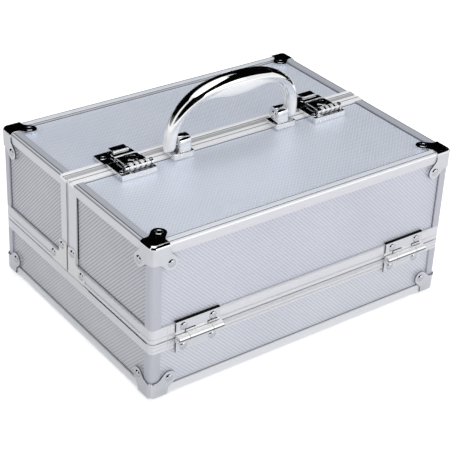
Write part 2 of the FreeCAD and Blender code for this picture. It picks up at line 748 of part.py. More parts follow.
def build_lid_rails(lid, inner):
    long_rail = long_edge_rail(f"{lid}_long_rail", RAIL_TOP, "-1")
    end_rail = end_edge_rail(f"{lid}_end_rail", RAIL_TOP, "-1", f"({inner} - Dims.split_width)", False)
    gather(f"{lid}_top_rails", [settle(rail, lid) for rail in [long_rail] + both_ends(end_rail)])
    keep(settle(lid_bottom_rail(lid, inner), lid), f"{lid}_bottom_rail")
    post = corner_post(f"{lid}_post", f"({LID_LOW} + Dims.lid_band)", RAIL_TOP, "-1")
    gather(f"{lid}_corner_posts", [settle(piece, lid) for piece in both_ends(post)])
    uprights = both_ends(split_upright(lid, inner))
    gather(f"{lid}_split_rails", [settle(rail, lid) for rail in [split_rail(lid, inner)] + uprights])


def corner_plate(lid, inner):
    """The L-plate that ties a lid's upright to its bottom rail, at the left end."""
    body = new_body(f"{lid}_corner_plate")
    margin, far, wide = "Dims.plate_margin", "Dims.plate_long", "Dims.plate_wide"

    def corner(along, up):
        return f"{inner} - {along}", f"{LID_LOW} + {up}"

    sketch = new_sketch(body, "outline", "YZ_Plane", f"-{RAIL_X} - Dims.cap_thick")
    draw_outline(sketch, [corner(margin, margin), corner(far, margin), corner(far, wide),
                          corner(wide, wide), corner(wide, far), corner(margin, far)])
    pad(body, sketch, "Dims.cap_thick")
    free_corners = [(far, margin), (far, wide), (wide, wide), (wide, far), (margin, far)]
    places = [tuple(value(text) for text in corner(*pair)) for pair in free_corners]

    def is_free(edge):
        return runs_along(edge, "x") and any(on_line(edge, y=y, z=z) for y, z in places)

    round_edges(body, "ends", "Dims.plate_round", is_free)
    return body


def build_lid_fittings(lid, inner):
    gather(f"{lid}_corner_plates", [settle(plate, lid) for plate in both_ends(corner_plate(lid, inner))])
    left_x, rivet_in = "-Dims.case_width / 2", "Dims.cap_rivet"
    front_y, top_z = "-Dims.case_depth / 2", "Dims.case_height"
    rivet_z = f"{top_z} - {rivet_in}"
    heads = [
        rivet(f"{lid}_rivet_top", f"{left_x} + {rivet_in}", f"{front_y} + {rivet_in}", top_z, *FACING_UP),
        rivet(f"{lid}_rivet_front", f"{left_x} + {rivet_in}", front_y, rivet_z, *FACING_FRONT),
        rivet(f"{lid}_rivet_end", left_x, f"{front_y} + {rivet_in}", rivet_z, *FACING_LEFT),
    ]
    for name, along, up in (("upper", "near", "far"), ("lower", "far", "near")):
        heads.append(rivet(f"{lid}_plate_rivet_{name}", left_x, f"{inner} - Dims.plate_rivet_{along}",
                           f"{LID_LOW} + Dims.plate_rivet_{up}", *FACING_LEFT))
    heads += hinge_rivets(f"{lid}_hinge_rivet", "1")
    gather(f"{lid}_rivets", [settle(twin, lid) for head in heads for twin in both_ends(head)])


def build_base_rivets():
    left_x, front_y, rivet_in = "-Dims.case_width / 2", "-Dims.case_depth / 2", "Dims.cap_rivet"
    heads = [rivet("base_rivet_front", f"{left_x} + {rivet_in}", front_y, rivet_in, *FACING_FRONT),
             rivet("base_rivet_end", left_x, f"{front_y} + {rivet_in}", rivet_in, *FACING_LEFT)]
    heads += hinge_rivets("base_hinge_rivet", "-1")
    row = doc.addObject("Part::Compound", "base_rivet_row")
    row.Links = [twin for head in heads for twin in both_ends(head)]
    gather("base_rivets", [row, mirror(row, "across_y")])


# Latches. Each has a plate and a sprung lever on the front lid, and a keeper on the back lid.

DECK = f"({RAIL_TOP} + Dims.latch_deck)"
LEVER_LOW = f"({DECK} + Dims.lever_lift)"
BARREL_Y = "(-Dims.latch_front + Dims.barrel_back)"
BARREL_Z = f"({RAIL_TOP} + Dims.barrel_rise)"
FRONT_INNER = "(Dims.split_offset - Dims.body_gap / 2)"
BACK_INNER = "(-Dims.split_offset - Dims.body_gap / 2)"
LOCK_Y = "(Dims.split_offset - Dims.lock_back)"
KEEPER_FRONT = "(Dims.split_offset + Dims.body_gap / 2)"


def latch_plate(side, centre):
    """The plate under a lever: it steps from the panel on to the split rail and ends in two lugs."""
    body = new_body(f"{side}_latch_plate")
    step_y = f"{FRONT_INNER} - Dims.split_width - Dims.body_gap"
    back_y = f"{FRONT_INNER} - Dims.body_gap"
    rim_z = f"{RAIL_TOP} + Dims.latch_rim"
    half_wide = "Dims.latch_wide / 2"
    channel_low = f"({centre} - Dims.lever_left - Dims.body_gap / 2)"
    channel_high = f"({centre} + Dims.lever_right + Dims.body_gap / 2)"
    profile = new_sketch(body, "profile", "YZ_Plane", f"{centre} - {half_wide}")
    draw_outline(profile, [("-Dims.latch_front", PANEL_TOP), (step_y, PANEL_TOP), (step_y, RAIL_TOP),
                           (back_y, RAIL_TOP), (back_y, rim_z), ("-Dims.latch_front", rim_z)])
    pad(body, profile, "Dims.latch_wide")
    channel = new_sketch(body, "channel", "XZ_Plane")
    draw_outline(channel, rectangle((channel_low, channel_high), (DECK, f"{rim_z} + Dims.latch_rim")))
    pocket(body, channel)
    for name, low, high in (("left", f"{channel_low} - Dims.left_lug", channel_low),
                            ("right", channel_high, f"{centre} + {half_wide} - Dims.body_gap")):
        lug = new_sketch(body, f"{name}_lug", "YZ_Plane", low)
        draw_circle(lug, BARREL_Y, BARREL_Z, "Dims.barrel_radius")
        pad(body, lug, f"({high}) - ({low})")
        web = new_sketch(body, f"{name}_web", "YZ_Plane", low)
        draw_outline(web, rectangle((f"{BARREL_Y} - Dims.barrel_radius", f"{BARREL_Y} + Dims.barrel_radius"),
                                    (DECK, BARREL_Z)))
        pad(body, web, f"({high}) - ({low})")
    bore = new_sketch(body, "bore", "YZ_Plane")
    draw_circle(bore, BARREL_Y, BARREL_Z, "Dims.latch_pin_radius")
    pocket(body, bore)
    return body


def latch_lever(side, centre, lock_x):
    """The lever: a knuckle on the barrel pin, a plate over the channel, and a hole for the lock."""
    body = new_body(f"{side}_lever")
    width = "Dims.lever_left + Dims.lever_right"
    tip_y = f"{FRONT_INNER} + Dims.lever_overhang"
    start = f"{centre} - Dims.lever_left"
    knuckle = new_sketch(body, "knuckle", "YZ_Plane", start)
    draw_circle(knuckle, BARREL_Y, BARREL_Z, "Dims.barrel_radius")
    pad(body, knuckle, width)
    plate = new_sketch(body, "plate", "YZ_Plane", start)
    draw_outline(plate, rectangle((BARREL_Y, tip_y), (LEVER_LOW, f"{LEVER_LOW} + Dims.lever_thick")))
    pad(body, plate, width)
    tip = value(tip_y)

    def is_tip_corner(edge):
        return runs_along(edge, "z") and on_line(edge, y=tip)

    round_edges(body, "tip", "Dims.lever_thick / 2", is_tip_corner)
    bore = new_sketch(body, "bore", "YZ_Plane")
    draw_circle(bore, BARREL_Y, BARREL_Z, "Dims.latch_pin_radius + Dims.running_fit")
    pocket(body, bore)
    lock_hole = new_sketch(body, "lock_hole", "XY_Plane")
    draw_circle(lock_hole, lock_x, LOCK_Y, "Dims.lock_radius + Dims.running_fit")
    pocket(body, lock_hole)
    return body


def lock_cylinder(side, lock_x):
    """The key cylinder: a plug through the lever with a flange on top and a key slot."""
    body = new_body(f"{side}_lock")
    half_slot = "Dims.key_slot_long / 2"
    lever_top = f"({LEVER_LOW} + Dims.lever_thick)"
    plug = new_sketch(body, "plug", "XY_Plane", LEVER_LOW)
    draw_circle(plug, lock_x, LOCK_Y, "Dims.lock_radius")
    pad(body, plug, "Dims.lever_thick + Dims.lock_proud")
    flange = new_sketch(body, "flange", "XY_Plane", f"{lever_top} + Dims.running_fit")
    draw_circle(flange, lock_x, LOCK_Y, "Dims.lock_flange")
    pad(body, flange, "Dims.lock_proud - Dims.running_fit")
    slot = new_sketch(body, "slot", "XY_Plane", f"{lever_top} + Dims.lock_proud - Dims.key_slot_deep")
    draw_outline(slot, rectangle((f"{lock_x} - Dims.key_slot / 2", f"{lock_x} + Dims.key_slot / 2"),
                                 (f"{LOCK_Y} - {half_slot}", f"{LOCK_Y} + {half_slot}")))
    pocket(body, slot, "Dims.key_slot_deep + Dims.body_gap", reverse=True)
    return body


def latch_keeper(side, centre):
    """The keeper on the back lid: a foot on rail and panel, a tongue that meets the lever, a block."""
    body = new_body(f"{side}_keeper")
    half = "Dims.latch_wide / 2"
    front_y = f"{FRONT_INNER} + Dims.lever_overhang + Dims.body_gap / 2"
    step_y = f"{KEEPER_FRONT} + Dims.split_width + Dims.body_gap"
    profile = new_sketch(body, "profile", "YZ_Plane", f"{centre} - {half}")
    draw_outline(profile, [(front_y, RAIL_TOP), (step_y, RAIL_TOP), (step_y, PANEL_TOP),
                           ("Dims.keeper_back", PANEL_TOP), ("Dims.keeper_back", DECK), (front_y, DECK)])
    pad(body, profile, "Dims.latch_wide")
    tongue = new_sketch(body, "tongue", "XY_Plane", DECK)
    tongue_y = f"{FRONT_INNER} + Dims.lever_overhang + Dims.body_gap"
    draw_outline(tongue, rectangle((f"{centre} - Dims.lever_left", f"{centre} + Dims.lever_right"),
                                   (tongue_y, "Dims.keeper_block_front")))
    pad(body, tongue, "Dims.lever_lift + Dims.lever_thick")
    claw = new_sketch(body, "claw", "XY_Plane", DECK)
    claw_x = (f"{centre} - Dims.keeper_block_left", f"{centre} + Dims.keeper_block_right")
    draw_outline(claw, rectangle(claw_x, ("Dims.keeper_block_front", "Dims.keeper_block_back")))
    pad(body, claw, "Dims.keeper_block_high")
    top = value(f"{DECK} + Dims.keeper_block_high")

    def is_top(edge):
        return on_line(edge, z=top)

    round_edges(body, "claw_round", "Dims.rail_edge", is_top)
    return body


def build_latches():
    plates, pins, keepers = [], [], []
    for side, way in (("left", "-1"), ("right", "1")):
        centre = f"({way} * Dims.latch_place + Dims.latch_offset)"
        lock_x = f"({centre} + Dims.lock_shift)"
        plates.append(latch_plate(side, centre))
        keepers.append(latch_keeper(side, centre))
        pin_low = f"{centre} - Dims.lever_left - Dims.body_gap / 2 - Dims.left_lug"
        pin_high = f"{centre} + Dims.latch_wide / 2 - Dims.body_gap"
        pins.append(rod(f"{side}_latch_pin", "Dims.latch_pin_radius", (pin_low, pin_high),
                        BARREL_Y, BARREL_Z))
        keep(latch_lever(side, centre, lock_x), f"{side}_latch_lever")
        keep(lock_cylinder(side, lock_x), f"{side}_lock_cylinder")
    gather("latch_plates", plates)
    gather("latch_pins", pins)
    gather("latch_keepers", keepers)


# Handle.

PIVOT_Z = f"({RAIL_TOP} + Dims.handle_pivot_rise)"
LEG_INNER = "(Dims.handle_half_span - Dims.handle_leg_thick)"


def handle_bracket():
    """The right bracket: a foot on the split rail with a lug beside the handle's leg."""
    body = new_body("bracket")
    inner, outer = "Dims.bracket_inner", f"{LEG_INNER} + Dims.handle_leg_thick / 2"
    lug_outer = f"{inner} + Dims.lug_wide"
    foot_z, lug_z = f"{RAIL_TOP} + Dims.bracket_foot", f"{RAIL_TOP} + Dims.lug_high"
    profile = new_sketch(body, "profile", "XZ_Plane", "-Dims.handle_back")
    draw_outline(profile, [(inner, RAIL_TOP), (outer, RAIL_TOP), (outer, foot_z),
                           (lug_outer, foot_z), (lug_outer, lug_z), (inner, lug_z)])
    pad(body, profile, "Dims.bracket_deep", symmetric=True)
    lug_top = value(lug_z)
    round_edges(body, "lug_round", "Dims.lug_round",
                lambda edge: runs_along(edge, "x") and on_line(edge, z=lug_top))
    bore = new_sketch(body, "bore", "YZ_Plane")
    draw_circle(bore, "Dims.handle_back", PIVOT_Z, "Dims.handle_pin_radius")
    pocket(body, bore)
    return body


SECTION_SIDES = 16
ARCH_STATIONS = 16
FOOT_ANGLES = (75, 50, 25)
ARCH_POWER = 2.3
GRIP_POWER = 6
DEPTH_POWER = 2


def oval(centre, normal, thick, deep):
    """A many-sided oval wire: thick along the arch's normal and deep along Y."""
    points = []
    for step in range(SECTION_SIDES + 1):
        turn = 2 * math.pi * step / SECTION_SIDES
        points.append(centre + normal * (thick / 2 * math.cos(turn))
                      + FreeCAD.Vector(0, deep / 2 * math.sin(turn), 0))
    return Part.makePolygon(points)


def arch_section(station):
    """A section of the arch, which swells on its inner side towards the grip in the middle."""
    half_span, rise = value("Dims.handle_half_span"), value("Dims.handle_rise")
    leg_thick, leg_deep = value("Dims.handle_leg_thick"), value("Dims.handle_leg_deep")
    angle = math.pi * station / ARCH_STATIONS
    sine = 0.0 if station in (0, ARCH_STATIONS) else math.sin(angle)
    cosine = math.cos(angle)
    thick = leg_thick + (value("Dims.handle_grip_thick") - leg_thick) * sine ** GRIP_POWER
    deep = leg_deep + (value("Dims.handle_grip_deep") - leg_deep) * sine ** DEPTH_POWER
    across = math.copysign(abs(cosine) ** (2 / ARCH_POWER), cosine)
    up = sine ** (2 / ARCH_POWER)
    normal = FreeCAD.Vector(math.copysign(abs(across) ** (ARCH_POWER - 1), across) / half_span, 0,
                            up ** (ARCH_POWER - 1) / rise).normalize()
    outside = FreeCAD.Vector(across * half_span, 0, value(PIVOT_Z) + up * rise)
    return oval(outside - normal * (thick / 2), normal, thick, deep)


def foot_section(side, degrees):
    """A section of a leg's round foot, at an angle below the pivot."""
    angle = math.radians(degrees)
    thick, radius = value("Dims.handle_leg_thick"), value("Dims.handle_leg_deep") / 2
    centre = FreeCAD.Vector(side * (value("Dims.handle_half_span") - thick / 2), 0,
                            value(PIVOT_Z) - radius * math.sin(angle))
    return oval(centre, FreeCAD.Vector(side, 0, 0), thick, 2 * radius * math.cos(angle))


def handle_bail():
    """The cast handle: one loft from foot to foot, bored for its pins and leaning a little forward."""
    half_span, pivot_z, along = value("Dims.handle_half_span"), value(PIVOT_Z), FreeCAD.Vector(1, 0, 0)
    sections = [foot_section(1, degrees) for degrees in FOOT_ANGLES]
    sections += [arch_section(station) for station in range(ARCH_STATIONS + 1)]
    sections += [foot_section(-1, degrees) for degrees in reversed(FOOT_ANGLES)]
    bore = Part.makeCylinder(value("Dims.handle_pin_radius + Dims.running_fit"), 4 * half_span,
                             FreeCAD.Vector(-2 * half_span, 0, pivot_z), along)
    piece = doc.addObject("Part::Feature", "bail")
    piece.Shape = Part.makeLoft(sections, True, False).cut(bore)
    turn = FreeCAD.Rotation(along, value("Dims.handle_lean"))
    place = FreeCAD.Vector(value("Dims.handle_offset"), value("Dims.handle_back"), 0)
    piece.Placement = FreeCAD.Placement(place, turn, FreeCAD.Vector(0, 0, pivot_z))
    return piece


def shifted_pair(label, piece):
    """A bracket or pin and its mirrored twin, moved with the handle's offset."""
    pair = gather(label, both_ends(piece))
    pair.setExpression("Placement.Base.x", "Dims.handle_offset")


def build_handle():
    keep(handle_bail(), "handle_bail")
    shifted_pair("handle_brackets", handle_bracket())
    pin = rod("handle_pin", "Dims.handle_pin_radius",
              ("Dims.bracket_inner", "Dims.handle_half_span - Dims.body_gap"), "Dims.handle_back", PIVOT_Z)
    shifted_pair("handle_pins", pin)


# Trays and arms, drawn at the front; the back ones are mirrored.

CRANK_Y = f"(-{HINGE_Y} + Dims.crank_offset)"
CRANK_Z = "(Dims.parting_height + Dims.crank_offset)"
TRAY_X = f"({LINER_X} - Dims.tray_end_gap)"
ARM_OUT = f"({LINER_X} - Dims.arm_clear)"
ARM_IN = f"({ARM_OUT} - Dims.arm_thick)"
ARM_FOOT_Y = f"(-{HINGE_Y} + Dims.arm_shift)"
ARM_FOOT_Z = "(Dims.parting_height - Dims.arm_drop)"
TIERS = {"lower": "0", "upper": "Dims.tier_pitch"}


def tray(side, tier, inner):
    """A moulded tray with rounded lower edges and two pivot holes in each end wall."""
    lift = TIERS[tier]
    body = new_body(f"{side}_{tier}_tray_body")
    pivot_y, pivot_z = f"({CRANK_Y} + {lift})", f"({CRANK_Z} + {lift})"
    low = f"({pivot_z} - Dims.tray_pivot_rise)"
    span_x = (minus(TRAY_X), TRAY_X)
    span_y = (f"-{LINER_Y} + Dims.tray_outer_gap", f"{inner} - Dims.tray_inner_gap")
    outside = new_sketch(body, "outside", "XY_Plane", low)
    draw_outline(outside, rectangle(span_x, span_y))
    pad(body, outside, "Dims.tray_high")
    floor = value(low)
    round_edges(body, "lower_edges", "Dims.tray_round",
                lambda edge: runs_along(edge, "x") and on_line(edge, z=floor))
    rim = value(f"{low} + Dims.tray_high")
    solid = body.Tip
    top = next(f"Face{i}" for i, face in enumerate(solid.Shape.Faces, 1)
               if abs(face.BoundBox.ZMin - rim) < 1e-4)
    shell = body.newObject("PartDesign::Thickness", f"{body.Name}_shell")
    shell.Base = (solid, [top])
    shell.setExpression("Value", "Dims.tray_wall")
    shell.Reversed = True
    doc.recompute()
    holes = new_sketch(body, "pivots", "YZ_Plane")
    hole = "Dims.arm_pin_radius + Dims.running_fit"
    draw_circle(holes, pivot_y, pivot_z, hole)
    draw_circle(holes, f"{pivot_y} + Dims.arm_shift", f"{pivot_z} - Dims.arm_drop", hole)
    pocket(body, holes)
    return body


def arm():
    """The left front arm: a round-ended strap with one hole per pivot, standing at 45 degrees."""
    body = new_body("front_arm")
    reach = "sqrt(2) * (Dims.crank_offset + Dims.tier_pitch)"
    half = "Dims.arm_wide / 2"
    strap = new_sketch(body, "strap", "YZ_Plane")
    draw_outline(strap, rectangle(("0", reach), (minus(half), half)))
    pad(body, strap, "Dims.arm_thick")
    for name, along in (("foot", "0"), ("head", reach)):
        end = new_sketch(body, name, "YZ_Plane")
        draw_circle(end, along, "0", half)
        pad(body, end, "Dims.arm_thick")
    holes = new_sketch(body, "holes", "YZ_Plane")
    draw_circle(holes, "0", "0", "Dims.arm_pin_radius + Dims.running_fit")
    for along in ("sqrt(2) * Dims.crank_offset", reach):
        draw_circle(holes, along, "0", "Dims.arm_pin_radius")
    pocket(body, holes)
    body.Placement.Rotation = FreeCAD.Rotation(FreeCAD.Vector(1, 0, 0), 45)
    for axis, place in (("x", minus(ARM_OUT)), ("y", ARM_FOOT_Y), ("z", ARM_FOOT_Z)):
        body.setExpression(f"Placement.Base.{axis}", place)
    return body


def headed_pin(name, y, z, steps):
    """A pin along X: each step is (form, radius, from, to), from the left wall inwards."""
    pieces = [form(f"{name}_{index}", radius, (low, high), y, z)
              for index, (form, radius, low, high) in enumerate(steps)]
    return fuse(name, pieces)


def lid_tray_pin(tier):
    """A lid's pivot for a tray: a spacer on the liner, a shank and a head inside the tray."""
    lift = TIERS[tier]
    wall, tray_end = minus(LINER_X), minus(TRAY_X)
    head = f"{tray_end} + Dims.tray_wall + Dims.pin_gap"
    return headed_pin(f"{tier}_tray_pin", f"{CRANK_Y} + {lift}", f"{CRANK_Z} + {lift}", [
        (collar, "Dims.spacer_radius", wall, f"{tray_end} - Dims.pin_gap"),
        (rod, "Dims.arm_pin_radius", wall, f"{head} + Dims.arm_head_thick"),
        (collar, "Dims.arm_pin_head", head, f"{head} + Dims.arm_head_thick"),
    ])


def arm_foot_pin():
    """The base's pivot for an arm: a spacer on the liner, a shank and a head over the arm."""
    wall, inner_head = minus(LINER_X), f"-{ARM_IN} + Dims.pin_gap"
    return headed_pin("arm_foot_pin", ARM_FOOT_Y, ARM_FOOT_Z, [
        (collar, "Dims.spacer_radius", wall, f"-{ARM_OUT} - Dims.pin_gap"),
        (rod, "Dims.arm_pin_radius", wall, f"{inner_head} + Dims.arm_head_thick"),
        (collar, "Dims.arm_pin_head", inner_head, f"{inner_head} + Dims.arm_head_thick"),
    ])


def arm_tray_rivet(tier):
    """The rivet that holds a tray to an arm, with a head outside the arm and one inside the tray."""
    lift = f"(Dims.crank_offset + {TIERS[tier]})"
    outer, head = minus(ARM_OUT), f"-{TRAY_X} + Dims.tray_wall + Dims.pin_gap"
    return headed_pin(f"{tier}_arm_rivet", f"{ARM_FOOT_Y} + {lift}", f"{ARM_FOOT_Z} + {lift}", [
        (collar, "Dims.arm_pin_head", f"{outer} - Dims.arm_head_thick", outer),
        (rod, "Dims.arm_pin_radius", outer, f"{head} + Dims.arm_head_thick"),
        (collar, "Dims.arm_pin_head", head, f"{head} + Dims.arm_head_thick"),
    ])


def build_trays():
    for side, inner in (("front", FRONT_INNER), ("back", BACK_INNER)):
        for tier in TIERS:
            keep(settle(tray(side, tier, inner), f"{side}_lid"), f"{side}_{tier}_tray")


def front_and_back(name, pieces):
    """Pieces of the front left, with their twins at the right end, at the front and at the back."""
    front = doc.addObject("Part::Compound", f"front_{name}_pairs")
    front.Links = [twin for piece in pieces for twin in both_ends(piece)]
    return front, mirror(front, "across_y")


def build_linkage():
    gather("arm_pivot_pins", list(front_and_back("foot_pin", [arm_foot_pin()])))
    for name, pieces, labels in (
        ("arm", [arm()], ("front_arms", "back_arms")),
        ("arm_rivet", [arm_tray_rivet(tier) for tier in TIERS], ("front_arm_rivets", "back_arm_rivets")),
        ("tray_pin", [lid_tray_pin(tier) for tier in TIERS], ("front_lid_tray_pins", "back_lid_tray_pins")),
    ):
        for group, label in zip(front_and_back(name, pieces), labels):
            keep(group, label)


def check_document():
    """Stops the build where an object failed or a sub-part has no sound solid."""
    for item in doc.Objects:
        if any(state in ("Invalid", "Error") for state in item.State):
            raise RuntimeError(f"{item.Name} is {item.State}")
    for node in nodes:
        if node.Shape.isNull() or not node.Shape.isValid() or not node.Shape.Solids:
            raise RuntimeError(f"{node.Label} has no sound solid")


def export():
    os.makedirs("parts", exist_ok=True)
    for node in nodes:
        node.Shape.exportStep(os.path.join("parts", node.Label + ".step"))
        print(f"{node.Label}: {len(node.Shape.Solids)} solids, {node.Shape.Volume / 1000:.2f} cm3")


build_base_box()
build_base_rails()
build_caps()
build_hinges()
build_base_rivets()
for lid_name, lid_inner in (("front_lid", FRONT_INNER), ("back_lid", BACK_INNER)):
    build_lid_box(lid_name, lid_inner)
    build_lid_rails(lid_name, lid_inner)
    build_lid_fittings(lid_name, lid_inner)
build_latches()
build_handle()
build_trays()
build_linkage()
doc.recompute()
check_document()
export()
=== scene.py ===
# %% [markdown]
# # A makeup train case
# The case is a box of silver embossed panels held in aluminium rails, with pressed chrome corners, butterfly
# hinges, two key latches and a chrome handle. Its top is split, and each half is a lid with trays inside.
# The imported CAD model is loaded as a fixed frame. Its solids keep their places, and this script gives them
# finishes and adds the finer metalwork, so that size and motion stay those of the CAD.

# %% Load the frame
import bpy
import bmesh
import math
from mathutils import Matrix, Vector


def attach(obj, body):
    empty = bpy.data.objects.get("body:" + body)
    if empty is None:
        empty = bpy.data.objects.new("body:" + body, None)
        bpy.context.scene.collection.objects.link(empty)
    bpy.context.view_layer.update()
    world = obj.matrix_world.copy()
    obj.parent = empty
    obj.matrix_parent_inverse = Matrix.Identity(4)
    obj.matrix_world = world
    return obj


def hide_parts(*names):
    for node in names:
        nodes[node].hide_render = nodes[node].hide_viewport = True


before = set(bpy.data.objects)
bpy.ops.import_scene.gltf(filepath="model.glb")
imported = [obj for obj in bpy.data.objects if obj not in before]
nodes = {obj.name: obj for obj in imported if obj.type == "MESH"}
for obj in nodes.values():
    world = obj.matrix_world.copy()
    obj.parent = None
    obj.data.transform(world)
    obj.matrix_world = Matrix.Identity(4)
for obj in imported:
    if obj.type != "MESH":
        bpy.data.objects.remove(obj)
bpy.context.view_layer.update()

MM = 0.001

# %% [markdown]
# ## Camera
# The photograph was fitted with a pinhole camera through the corners, the parting line and the split of the lids.
# A camera could be turned by eye until the outlines meet, but a fit gives its place and lens in one go.
# It needs no shift of the lens, only a small roll, so the other views stay centred.

# %% Camera
IMAGE, SENSOR = 456, 36
CAMERA_AZIMUTH, CAMERA_ELEVATION, CAMERA_ROLL = -37.373, 31.046, 2.827
FOCAL_PIXELS = 1382.55
CAMERA_PLACE = Vector((-537.433, -710.615, 581.475)) * MM


def around(azimuth, elevation, distance=1.0):
    """A point round the case; azimuth 0 is in front, and is seen by looking along +Y."""
    a, e = math.radians(azimuth), math.radians(elevation)
    return Vector((math.sin(a) * math.cos(e), -math.cos(a) * math.cos(e), math.sin(e))) * distance


back = around(CAMERA_AZIMUTH, CAMERA_ELEVATION)
level = Vector((-back.y, back.x, 0)).normalized()
roll_turn = Matrix.Rotation(math.radians(CAMERA_ROLL), 3, back)
right, up = roll_turn @ level, roll_turn @ back.cross(level)
lens = bpy.data.cameras.new("camera")
lens.sensor_width = SENSOR
lens.lens = FOCAL_PIXELS / IMAGE * SENSOR
lens.clip_start = 10 * MM
camera = bpy.data.objects.new("camera", lens)
bpy.context.scene.collection.objects.link(camera)
camera.matrix_world = Matrix.Translation(CAMERA_PLACE) @ Matrix((right, up, back)).transposed().to_4x4()
bpy.context.scene.camera = camera
print("lens:", round(lens.lens, 1), "mm")

# %% [markdown]
# ## Colours and shader nodes
# Colours are written as sRGB hex, as a colour picker gives them, and turned to linear light in one place.
# A material is a graph of nodes. It could be drawn by hand in the shader editor; here one function adds any node
# with its settings and links, so that a material reads as a list of steps and comes out the same each time.

# %% Colours and shader nodes
FACTOR, FIRST, SECOND, BLEND = 0, 6, 7, 2  # sockets of a Mix node that blends colours


def linear(code):
    """Linear RGBA of an sRGB hex colour."""
    parts = [int(code[i:i + 2], 16) / 255 for i in (1, 3, 5)]
    return tuple(c / 12.92 if c <= 0.04045 else ((c + 0.055) / 1.055) ** 2.4 for c in parts) + (1.0,)


def add(tree, kind, inputs=(), out=0, **settings):
    """Adds a node and gives back one of its outputs, or all of them where out is None.

    Inputs come in order or by socket, and each is a value or an output of another node."""
    node = tree.nodes.new("ShaderNode" + kind)
    for key, setting in settings.items():
        setattr(node, key, setting)
    for key, given in inputs.items() if isinstance(inputs, dict) else enumerate(inputs):
        if isinstance(given, bpy.types.NodeSocket):
            tree.links.new(given, node.inputs[key])
        else:
            node.inputs[key].default_value = given
    return node.outputs if out is None else node.outputs[out]


def new_material(name):
    """A material with an empty node tree."""
    material = bpy.data.materials.new(name)
    material.use_nodes = True
    material.node_tree.nodes.clear()
    print("material:", name)
    return material, material.node_tree


print("mid grey in linear light:", round(linear("#808080")[0], 3))

# %% [markdown]
# ## Embossed laminate
# The panels are board faced with a silver film that is rolled with a fine diagonal lattice of ridges.
# The lattice could be modelled, but there are thousands of ridges, a third of a millimetre high. So two waves at 45
# degrees make it in the material: their height drives the bump and a change of tone, which paints shade between ridges.
# Each wall has its own tones and shares of the two ridges: the same film, painted lighter or darker for the light on
# it.

# %% Embossed laminate
EMBOSS_PITCH, EMBOSS_DEPTH = 2.16 * MM, 0.35 * MM
VALLEY, CREST = 0.08, 0.3  # where a ridge begins and is full, as parts of a wave that runs from 0 to 0.5
# RIDGE_TONE paints the valleys darker than the ridges: painted shade between them.
RIDGE_TONE, CLOUD_TONE = 0.75, 0.3
FILM_CLOUD = 55.5 * MM
FILM_GRAIN = 1.11 * MM  # real film is finer than a pixel; drawn as coarse as it needs to show
FILM_ROUGH, FILM_METAL, FILM_BUMP = (0.36, 0.5), 0.45, 0.6
NOISE_RANGE = 0.3, 0.7  # nearly all values of a noise texture


def laminate(name, axes, light, dark, shares):
    """Film in the plane of two axes; shares are the heights of the ridges along its two diagonals."""
    material, tree = new_material(name)
    point = add(tree, "TexCoord", out="Object")
    ridges = []
    for way, share in zip((1, -1), shares):
        across = [0.0, 0.0, 0.0]
        across[axes[0]] = 1 / (EMBOSS_PITCH * math.sqrt(2))
        across[axes[1]] = way * across[axes[0]]
        step = add(tree, "VectorMath", (point, across), "Value", operation="DOT_PRODUCT")
        wave = add(tree, "Math", (step, 0.5), operation="PINGPONG")
        ridges.append(add(tree, "MapRange", (wave, VALLEY, CREST, 0.0, share)))
    height = add(tree, "Math", ridges, operation="ADD")
    cloud = add(tree, "TexNoise", {"Vector": point, "Scale": 1 / FILM_CLOUD, "Detail": 3.0})
    grain = add(tree, "TexNoise", {"Vector": point, "Scale": 1 / FILM_GRAIN, "Detail": 3.0})
    drift = add(tree, "Math", (cloud, CLOUD_TONE), operation="MULTIPLY")
    tone = add(tree, "Math", (height, RIDGE_TONE, drift), operation="MULTIPLY_ADD")
    colour = add(tree, "Mix", {FACTOR: tone, FIRST: linear(dark), SECOND: linear(light)}, BLEND, data_type="RGBA")
    shader = add(tree, "BsdfPrincipled", {
        "Base Color": colour, "Metallic": FILM_METAL,
        "Roughness": add(tree, "MapRange", (grain, *NOISE_RANGE, *FILM_ROUGH)),
        "Normal": add(tree, "Bump", {"Height": height, "Strength": FILM_BUMP, "Distance": EMBOSS_DEPTH})})
    add(tree, "OutputMaterial", {"Surface": shader}, None)
    return material


# Each wall's tones are painted lighter or darker for how the light falls on it; the film is the same on all.
# Film on top: it faces the top light and looks bluish white, with ridges that stand out along one diagonal.
laminate_top = laminate("silver_laminate_embossed_top", (0, 1), "#F4F8FF", "#CAD4E9", (0.68, 0.34))
# Film on the long walls: an even silver weave, with both diagonals nearly alike.
laminate_long = laminate("silver_laminate_embossed_long", (0, 2), "#E4E6EE", "#B7BAC7", (0.46, 0.38))
# Film on the end walls: turned from the light, it is greyer, with the deepest shade between ridges.
laminate_end = laminate("silver_laminate_embossed_end", (1, 2), "#DCDDE2", "#8F9199", (0.62, 0.4))
# Film on the base: the same two walls, paler where the white floor lights them.
laminate_base_long = laminate("silver_laminate_embossed_base_long", (0, 2), "#EAECF2", "#BCBFCA", (0.5, 0.4))
laminate_base_end = laminate("silver_laminate_embossed_base_end", (1, 2), "#E4E5E9", "#A3A5AC", (0.5, 0.36))

# %% [markdown]
# ## Extruded aluminium
# The rails are pushed through a die and satin anodised. Fine die lines run along a rail, so its gloss spreads across
# them, and narrow grooves part its ribs. All could be cut into the mesh; here the material works out how far in from
# the outer faces a point lies, draws the lines and grooves from that, and turns them at the mitres of the corners.
# The grooves are drawn dark: painted shade where the real grooves lie in shadow.

# %% Where a point lies on the rails
RAIL_END, RAIL_FACE = 129, 99
GROOVE_HALF, GROOVE_FLOOR = 0.5, 0.4


